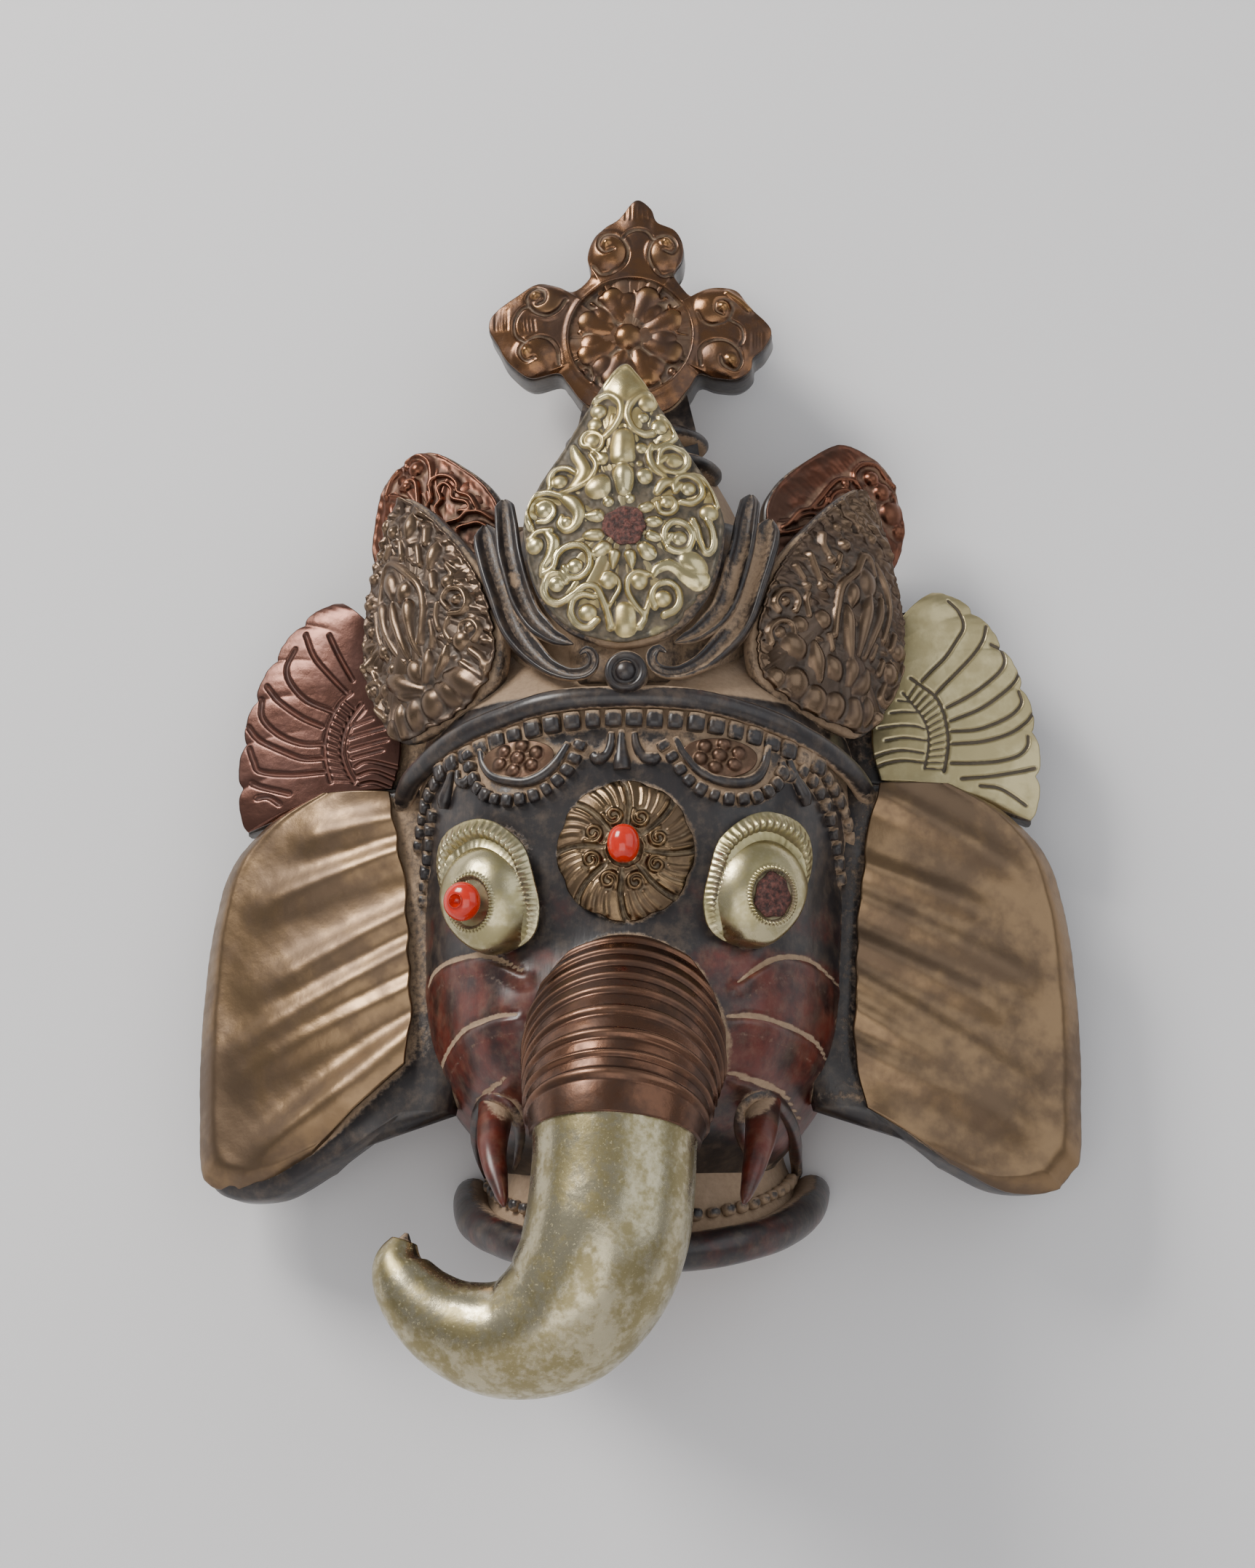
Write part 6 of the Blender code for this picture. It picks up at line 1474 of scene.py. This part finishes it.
def addPlaque(word):
    x0, z0 = plaques[word]
    relief = blankRelief(-9, 9, -7, 6, 0.12)
    for k in range(6):
        turn = 2 * math.pi * k / 6 + 0.3
        beat(relief, [(4.6 * math.cos(turn), -0.6 + 2.9 * math.sin(turn), 1.7)], 1.5, sharp=0.6)
    beat(relief, [(0, -0.6, 1.9)], 1.8, sharp=0.6)
    turns = fullTurn(120)
    shares = np.linspace(0, 1, 31)[1:]
    tall = np.where(np.sin(turns) > 0, plaqueSizes["up"], plaqueSizes["down"])
    u = plaqueSizes["wide"] * shares[:, None] * np.cos(turns)
    v = tall * shares[:, None] * np.sin(turns)
    rise, hollow = readRelief(relief, u, v)
    s = shares[:, None] + 0 * u
    depth = faceDepth(x0 + u, z0 + v) + 1.3 + rise + 0.3 * (1 - s ** 4)
    top = at(x0 + u, depth, z0 + v)
    under = [at(x0 + u[k], depth[k] - d, z0 + v[k]) for k, d in ((-1, 0.4), (-2, 0.7), (12, 0.7))]
    loops = np.concatenate([top, np.stack(under)])
    shape = newShape()
    hub = at(x0, faceDepth(x0, z0) + 2.9, z0)
    addClosed(shape, loops, hub, hub + np.array([0, 1.5 * mm, 0]),
              hollow=np.concatenate([hollow.ravel() * 0.5, np.zeros(3 * len(turns) + 2)]))
    showPiece("plaque" + word.title(), shape, plaqueCopper, ["pendant_plaque_" + word])


plaqueCopper = beatenMetal("plaqueCopper", "#6f5647 #5d4a3d #806657 #4c392d", dust="#8f7459",
                           grimeShare=0.5, gloss=0.36, matt=0.5, patch=7.0)
addPlaque("left")
addPlaque("right")


# sleeves of the trunk

sleeveSizes = {"copper": (0.118, 0.388), "silver": (0.372, 0.988), "reach": 108, "rings": 9, "ringRise": 0.7,
               "ringWidth": 0.2, "wall": 0.7, "over": 0.25}


def ringTree():
    # raises rings across a sleeve: "along" runs from 0 to 1 over the ringed stretch
    tree, given = startTree("raisedRings", "Sleeve", "Sleeve", Rings=9.0, Rise=0.0009, Width=0.16)
    along = put(tree, "GeometryNodeInputNamedAttribute", {"Name": "along"}, data_type="FLOAT").outputs[0]
    outer = put(tree, "GeometryNodeInputNamedAttribute", {"Name": "outer"}, data_type="FLOAT").outputs[0]
    turns = times(tree, along, given["Rings"])
    phase = minus(tree, mathNode(tree, "FRACT", turns, 0.0), 0.5)
    share = mathNode(tree, "DIVIDE", mathNode(tree, "ABSOLUTE", phase, 0.0), given["Width"])
    peak = minus(tree, 1.0, times(tree, share, share), True)
    groove = minus(tree, phase, 0.26)
    groove = mathNode(tree, "DIVIDE", mathNode(tree, "ABSOLUTE", groove, 0.0), 0.11)
    groove = minus(tree, 1.0, groove, True)
    form = minus(tree, peak, times(tree, groove, 0.2))
    inRange = times(tree, mathNode(tree, "GREATER_THAN", along, 0.03),
                    mathNode(tree, "LESS_THAN", along, 0.97))
    form = times(tree, times(tree, form, inRange), outer)
    push = times(tree, form, given["Rise"])
    normal = put(tree, "GeometryNodeInputNamedAttribute", {"Name": "outward"},
                 data_type="FLOAT_VECTOR").outputs[0]
    shift = put(tree, "ShaderNodeVectorMath", {0: normal, "Scale": push}, operation="SCALE").outputs[0]
    moved = put(tree, "GeometryNodeSetPosition", {"Geometry": given["Sleeve"], "Offset": shift}).outputs[0]
    stored = put(tree, "GeometryNodeStoreNamedAttribute", {"Geometry": moved, "Name": "hollow",
                                                          "Value": times(tree, form, -0.35)},
                 data_type="FLOAT", domain="POINT").outputs[0]
    return endTree(tree, stored, given)


def sleeve(span, rows, columns, lift, relief):
    # a sheet wrapped over the trunk down to where the face or its own reach ends it
    fine = runThrough(trunkPath, 481)
    path = at(*fine[:, :3].T)
    side, front = framesAlong(path)
    reach = math.radians(sleeveSizes["reach"])
    tries = np.linspace(0, reach, 109)
    loops, along, outward = [], [], []
    for share in np.linspace(span[0], span[1], rows):
        place = share * 480
        k = min(int(place), 479)
        f = place - k
        middle, across, ahead = [a[k] * (1 - f) + a[k + 1] * f for a in (path, side, front)]
        radius = (fine[k, 3] * (1 - f) + fine[k + 1, 3] * f + lift) * mm
        limits = []
        for way in (-1, 1):
            spots = (middle + ahead * (np.cos(tries) * radius)[:, None]
                     + across * (np.sin(way * tries) * radius)[:, None])
            x, depth, z = spots[:, 0] / mm, -spots[:, 1] / mm, spots[:, 2] / mm
            shelteredShadeAndDust = (depth < faceDepth(x, z) + relief) & (z > -121)
            limits.append(way * (tries[np.argmax(shelteredShadeAndDust)] if shelteredShadeAndDust.any() else reach))
        if limits[1] - limits[0] < math.radians(16):
            continue
        turns = np.linspace(limits[0], limits[1], columns)
        ring = ahead * np.cos(turns)[:, None] + across * np.sin(turns)[:, None]
        under = turns[[-1, int(columns * 0.75), columns // 2, int(columns * 0.25), 0]]
        low = ahead * np.cos(under)[:, None] + across * np.sin(under)[:, None]
        loops.append(np.concatenate([middle + ring * radius,
                                     middle + low * (radius - sleeveSizes["wall"] * mm)]))
        outward.append(np.concatenate([ring, low]))
        along.append(share)
    return np.stack(loops), np.stack(outward), np.array(along)


def addCopperSleeve():
    loops, outward, along = sleeve(sleeveSizes["copper"], 250, 110, sleeveSizes["over"], 0.5)
    along = (along - along[0]) / (along[-1] - along[0])
    x, y, z = np.moveaxis(loops, -1, 0) / mm
    loops = loops + outward * (0.16 * rippled(x, y, z, 7.0, 71) * mm)[..., None]
    shape = newShape()
    addLoft(shape, loops, hollow=0.0)
    mesh = meshOf("copperSleeve", shape)
    extra = np.concatenate([np.repeat(along[:, None], loops.shape[1], 1).ravel() / 0.93, [0.0, 1.0]])
    outer = np.ones(loops.shape[:2])
    outer[:, 110:] = 0.0
    # the rings run out at the sleeve's edges
    outer[:, :110] *= np.clip(np.minimum(np.arange(110), np.arange(110)[::-1]) / 5, 0, 1)
    setField(mesh, "along", extra)
    setField(mesh, "outer", np.concatenate([outer.ravel(), [0.0, 0.0]]))
    setField(mesh, "outward", np.concatenate([outward.reshape(-1, 3), np.zeros((2, 3))]), "FLOAT_VECTOR")
    ringed = grown(ringTree(), mesh, ringCopper, Rings=float(sleeveSizes["rings"]),
                   Rise=sleeveSizes["ringRise"] * mm, Width=sleeveSizes["ringWidth"])
    ringed.shade_smooth()
    showPiece("trunkCopperSleeve", ringed, ringCopper, ["trunk_copper_sleeve"])


def addSilverSleeve():
    loops, outward, along = sleeve(sleeveSizes["silver"], 260, 90, -0.45, 0.5)
    x, y, z = np.moveaxis(loops, -1, 0) / mm
    loops = loops + outward * (0.25 * rippled(x, y, z, 12.0, 73) * mm)[..., None]
    shape = newShape()
    addLoft(shape, loops, hollow=0.0)
    showPiece("trunkSilverSleeve", shape, trunkSilver, ["trunk_silver_sleeve"])


addCopperSleeve()
addSilverSleeve()


# coral beads and what is left in the empty seats

def beadShape(centre, axis, radius, length, bore=0.0):
    axis = np.asarray(axis, float) / np.linalg.norm(axis)
    side = np.cross(axis, [0.0, 0.0, 1.0] if abs(axis[2]) < 0.9 else [1.0, 0.0, 0.0])
    side /= np.linalg.norm(side)
    other = np.cross(axis, side)
    leans = np.linspace(-0.43, 0.43, 24) * math.pi
    profile = [(radius * math.cos(a) ** 0.8,
                length / 2 * math.sin(a) / math.sin(0.43 * math.pi)) for a in leans]
    inner = max(bore, radius * 0.1)
    profile += [(inner + 0.5, length / 2 + 0.12), (inner + 0.1, length / 2), (inner, length / 2 - 0.6)]
    floor = length / 2 - (length * 0.4 if bore else 0.7)
    turns = fullTurn(48)
    rings = np.stack([np.asarray(centre)
                      + (side[None] * np.cos(turns)[:, None] + other[None] * np.sin(turns)[:, None]) * r * mm
                      + axis * h * mm for r, h in profile])
    shape = newShape()
    addClosed(shape, rings, np.asarray(centre) - axis * length / 2 * mm,
              np.asarray(centre) + axis * floor * mm)
    return shape


leftEye, rightEye = eyePlane("left"), eyePlane("right")
bu, bv = eyeSizes["ball"]
ballTop = eyeSizes["rise"] * math.sqrt(1 - eyeSizes["flat"] ** 2) + eyeSizes["rim"]
showPiece("coralPupil",
          beadShape(onPlane(leftEye, bu, bv, ballTop + 0.3 + 3.1), leftEye["out"], 4.6, 6.2, 1.4),
          coralRed, ["coral_bead_eye"])
lift = 1.3 + 3.6 + 0.3 + 3.8
showPiece("coralBrow", beadShape(onFace(rosetteSizes["x"], rosetteSizes["z"], lift), (0, 0, 1), 3.8, 8.8),
          coralRed, ["coral_bead_forehead"])


def addResidue(name, plane, u, v, h, half, replaced, seed):
    turns = fullTurn(72)
    shares = np.linspace(0, 1, 23)[1:]
    wobble = 1 + 0.05 * np.sin(turns * 3 + seed) + 0.04 * np.sin(turns * 7 + 2)
    du = half[0] * shares[:, None] * np.cos(turns) * wobble
    dv = half[1] * shares[:, None] * np.sin(turns) * wobble
    lumps = 0.35 * rippled(du, dv, 0 * du, 0.9, seed) + 0.2 * rippled(du, dv, 0 * du, 0.45, seed + 1)
    rise = h + 0.75 + lumps * (1 - shares[:, None] ** 4) - 0.5 * shares[:, None] ** 6
    rings = np.concatenate([onPlane(plane, u + du, v + dv, rise),
                            onPlane(plane, u + du[-1], v + dv[-1], h + 0.1)[None]])
    shape = newShape()
    addClosed(shape, rings, onPlane(plane, u, v, h + 0.75), onPlane(plane, u, v, h))
    showPiece(name, shape, residueBrown, [replaced])


addResidue("pupilResidue", rightEye, bu, bv, ballTop - 0.4, (4.5, 5.3), "pupil_residue", 3)
addResidue("seatResidue", turnedPlane(*frontLeaf["plane"]), 0.4, 0.5, 0.0, (5.2, 4.9), "seat_residue", 5)
print("pieces:", len(pieces))


# how sheltered each point is by what stands round it, with up-facing points added: dust settles there; on
# the metal sheets the darker grime it brings is also painted shade

def shelterOf(things, reach=9.0, cell=1.3, rays=20):
    corners, faces, start = [], [], 0
    for thing in things:
        mesh = thing.data
        corners.append(pointsOf(mesh))
        faces.extend([tuple(v + start for v in face.vertices) for face in mesh.polygons])
        start += len(mesh.vertices)
    tree = BVHTree.FromPolygons(np.vstack(corners).tolist(), faces)
    ways = np.random.default_rng(7).normal(size=(rays, 3))
    ways /= np.linalg.norm(ways, axis=1)[:, None]
    for thing, points in zip(things, corners):
        mesh = thing.data
        normals = np.empty(len(mesh.vertices) * 3)
        mesh.vertex_normals.foreach_get("vector", normals)
        normals = normals.reshape(-1, 3)
        key = np.floor(points / (cell * mm)).astype(np.int64)
        key = (key[:, 0] * 4001 + key[:, 1]) * 4001 + key[:, 2]
        key = key * 4 + (normals[:, 1] < -0.3) * 2 + (normals[:, 2] > 0)
        _, first, back = np.unique(key, return_index=True, return_inverse=True)
        found = np.zeros(len(first))
        for k, vertex in enumerate(first):
            normal = normals[vertex]
            origin = Vector(points[vertex] + normal * 0.4 * mm)
            hits = 0.0
            for way in ways + normal * 1.05:
                if tree.ray_cast(origin, Vector(way), reach * mm)[0] is not None:
                    hits += 1
            found[k] = hits / rays
        shelter = found[back.ravel()]
        upward = np.clip(normals[:, 2] - 0.25, 0, 1) * 0.55
        edges = np.empty(len(mesh.edges) * 2, np.int64)
        mesh.edges.foreach_get("vertices", edges)
        a, b = edges.reshape(-1, 2).T
        share = np.maximum(np.bincount(a, minlength=len(points)) + np.bincount(b, minlength=len(points)), 1)
        for _ in range(5):
            total = np.bincount(a, shelter[b], len(points)) + np.bincount(b, shelter[a], len(points))
            shelter = 0.4 * shelter + 0.6 * total / share
        setField(mesh, "shelter", shelter + upward)


shelterOf(pieces)
print("dust laid")


# stage, lights and camera

def oneSided(name, hexCode):
    made = bpy.data.materials.new(name)
    made.use_nodes = True
    tree = made.node_tree
    shader = tree.nodes["Principled BSDF"]
    shader.inputs["Base Color"].default_value = colour(hexCode)
    shader.inputs["Roughness"].default_value = 0.9
    behind = put(tree, "ShaderNodeNewGeometry").outputs["Backfacing"]
    clear = put(tree, "ShaderNodeBsdfTransparent").outputs[0]
    mixed = put(tree, "ShaderNodeMixShader", {0: behind, 1: shader.outputs[0], 2: clear}).outputs[0]
    tree.links.new(mixed, tree.nodes["Material Output"].inputs["Surface"])
    return made


def stagePlane(name, corners, finish):
    mesh = bpy.data.meshes.new(name)
    mesh.from_pydata(corners, [], [(0, 1, 2, 3)])
    mesh.materials.append(finish)
    thing = bpy.data.objects.new(name, mesh)
    bpy.context.scene.collection.objects.link(thing)


stageSizes = {"wide": 3.0, "floor": -0.75, "behind": 0.002}
paper = oneSided("palePaper", "#e4e3e4")
half, low, back = stageSizes["wide"], stageSizes["floor"], stageSizes["behind"]
stagePlane("backdrop", [(-half, back, low), (half, back, low), (half, back, 2.2), (-half, back, 2.2)], paper)
stagePlane("floor", [(-half, -half, low), (half, -half, low), (half, back, low), (-half, back, low)], paper)


def addLight(name, place, target, size, power, tone):
    lamp = bpy.data.lights.new(name, "AREA")
    lamp.size, lamp.energy, lamp.color = size, power, tone
    thing = bpy.data.objects.new(name, lamp)
    thing.location = place
    thing.rotation_euler = (Vector(target) - Vector(place)).to_track_quat("-Z", "Y").to_euler()
    bpy.context.scene.collection.objects.link(thing)


middle = (0.0, -0.05, -0.02)
addLight("key", (-0.75, -0.75, 0.75), middle, 0.5, 17.0, (1.0, 0.97, 0.93))
addLight("fill", (0.9, -0.9, 0.25), middle, 1.2, 4.5, (0.93, 0.96, 1.0))
addLight("low", (-0.1, -1.1, -0.5), middle, 0.9, 4.0, (1.0, 0.98, 0.95))
world = bpy.data.worlds.new("paleRoom")
world.use_nodes = True
world.node_tree.nodes["Background"].inputs["Color"].default_value = colour("#d9dbde")
world.node_tree.nodes["Background"].inputs["Strength"].default_value = 0.55
bpy.context.scene.world = world

view = {"turn": 3.5, "lift": -15.0, "distance": 1.10, "lens": 106.0, "target": (0.0, -0.06, -0.03)}
turn, lift = math.radians(view["turn"]), math.radians(view["lift"])
away = Vector((math.sin(turn) * math.cos(lift), -math.cos(turn) * math.cos(lift), math.sin(lift)))
eye = bpy.data.cameras.new("camera")
eye.lens, eye.sensor_width, eye.sensor_fit = view["lens"], 36.0, "AUTO"
camera = bpy.data.objects.new("camera", eye)
camera.location = Vector(view["target"]) + away * view["distance"]
camera.rotation_euler = (-away).to_track_quat("-Z", "Y").to_euler()
bpy.context.scene.collection.objects.link(camera)
bpy.context.scene.camera = camera

print("stage set")
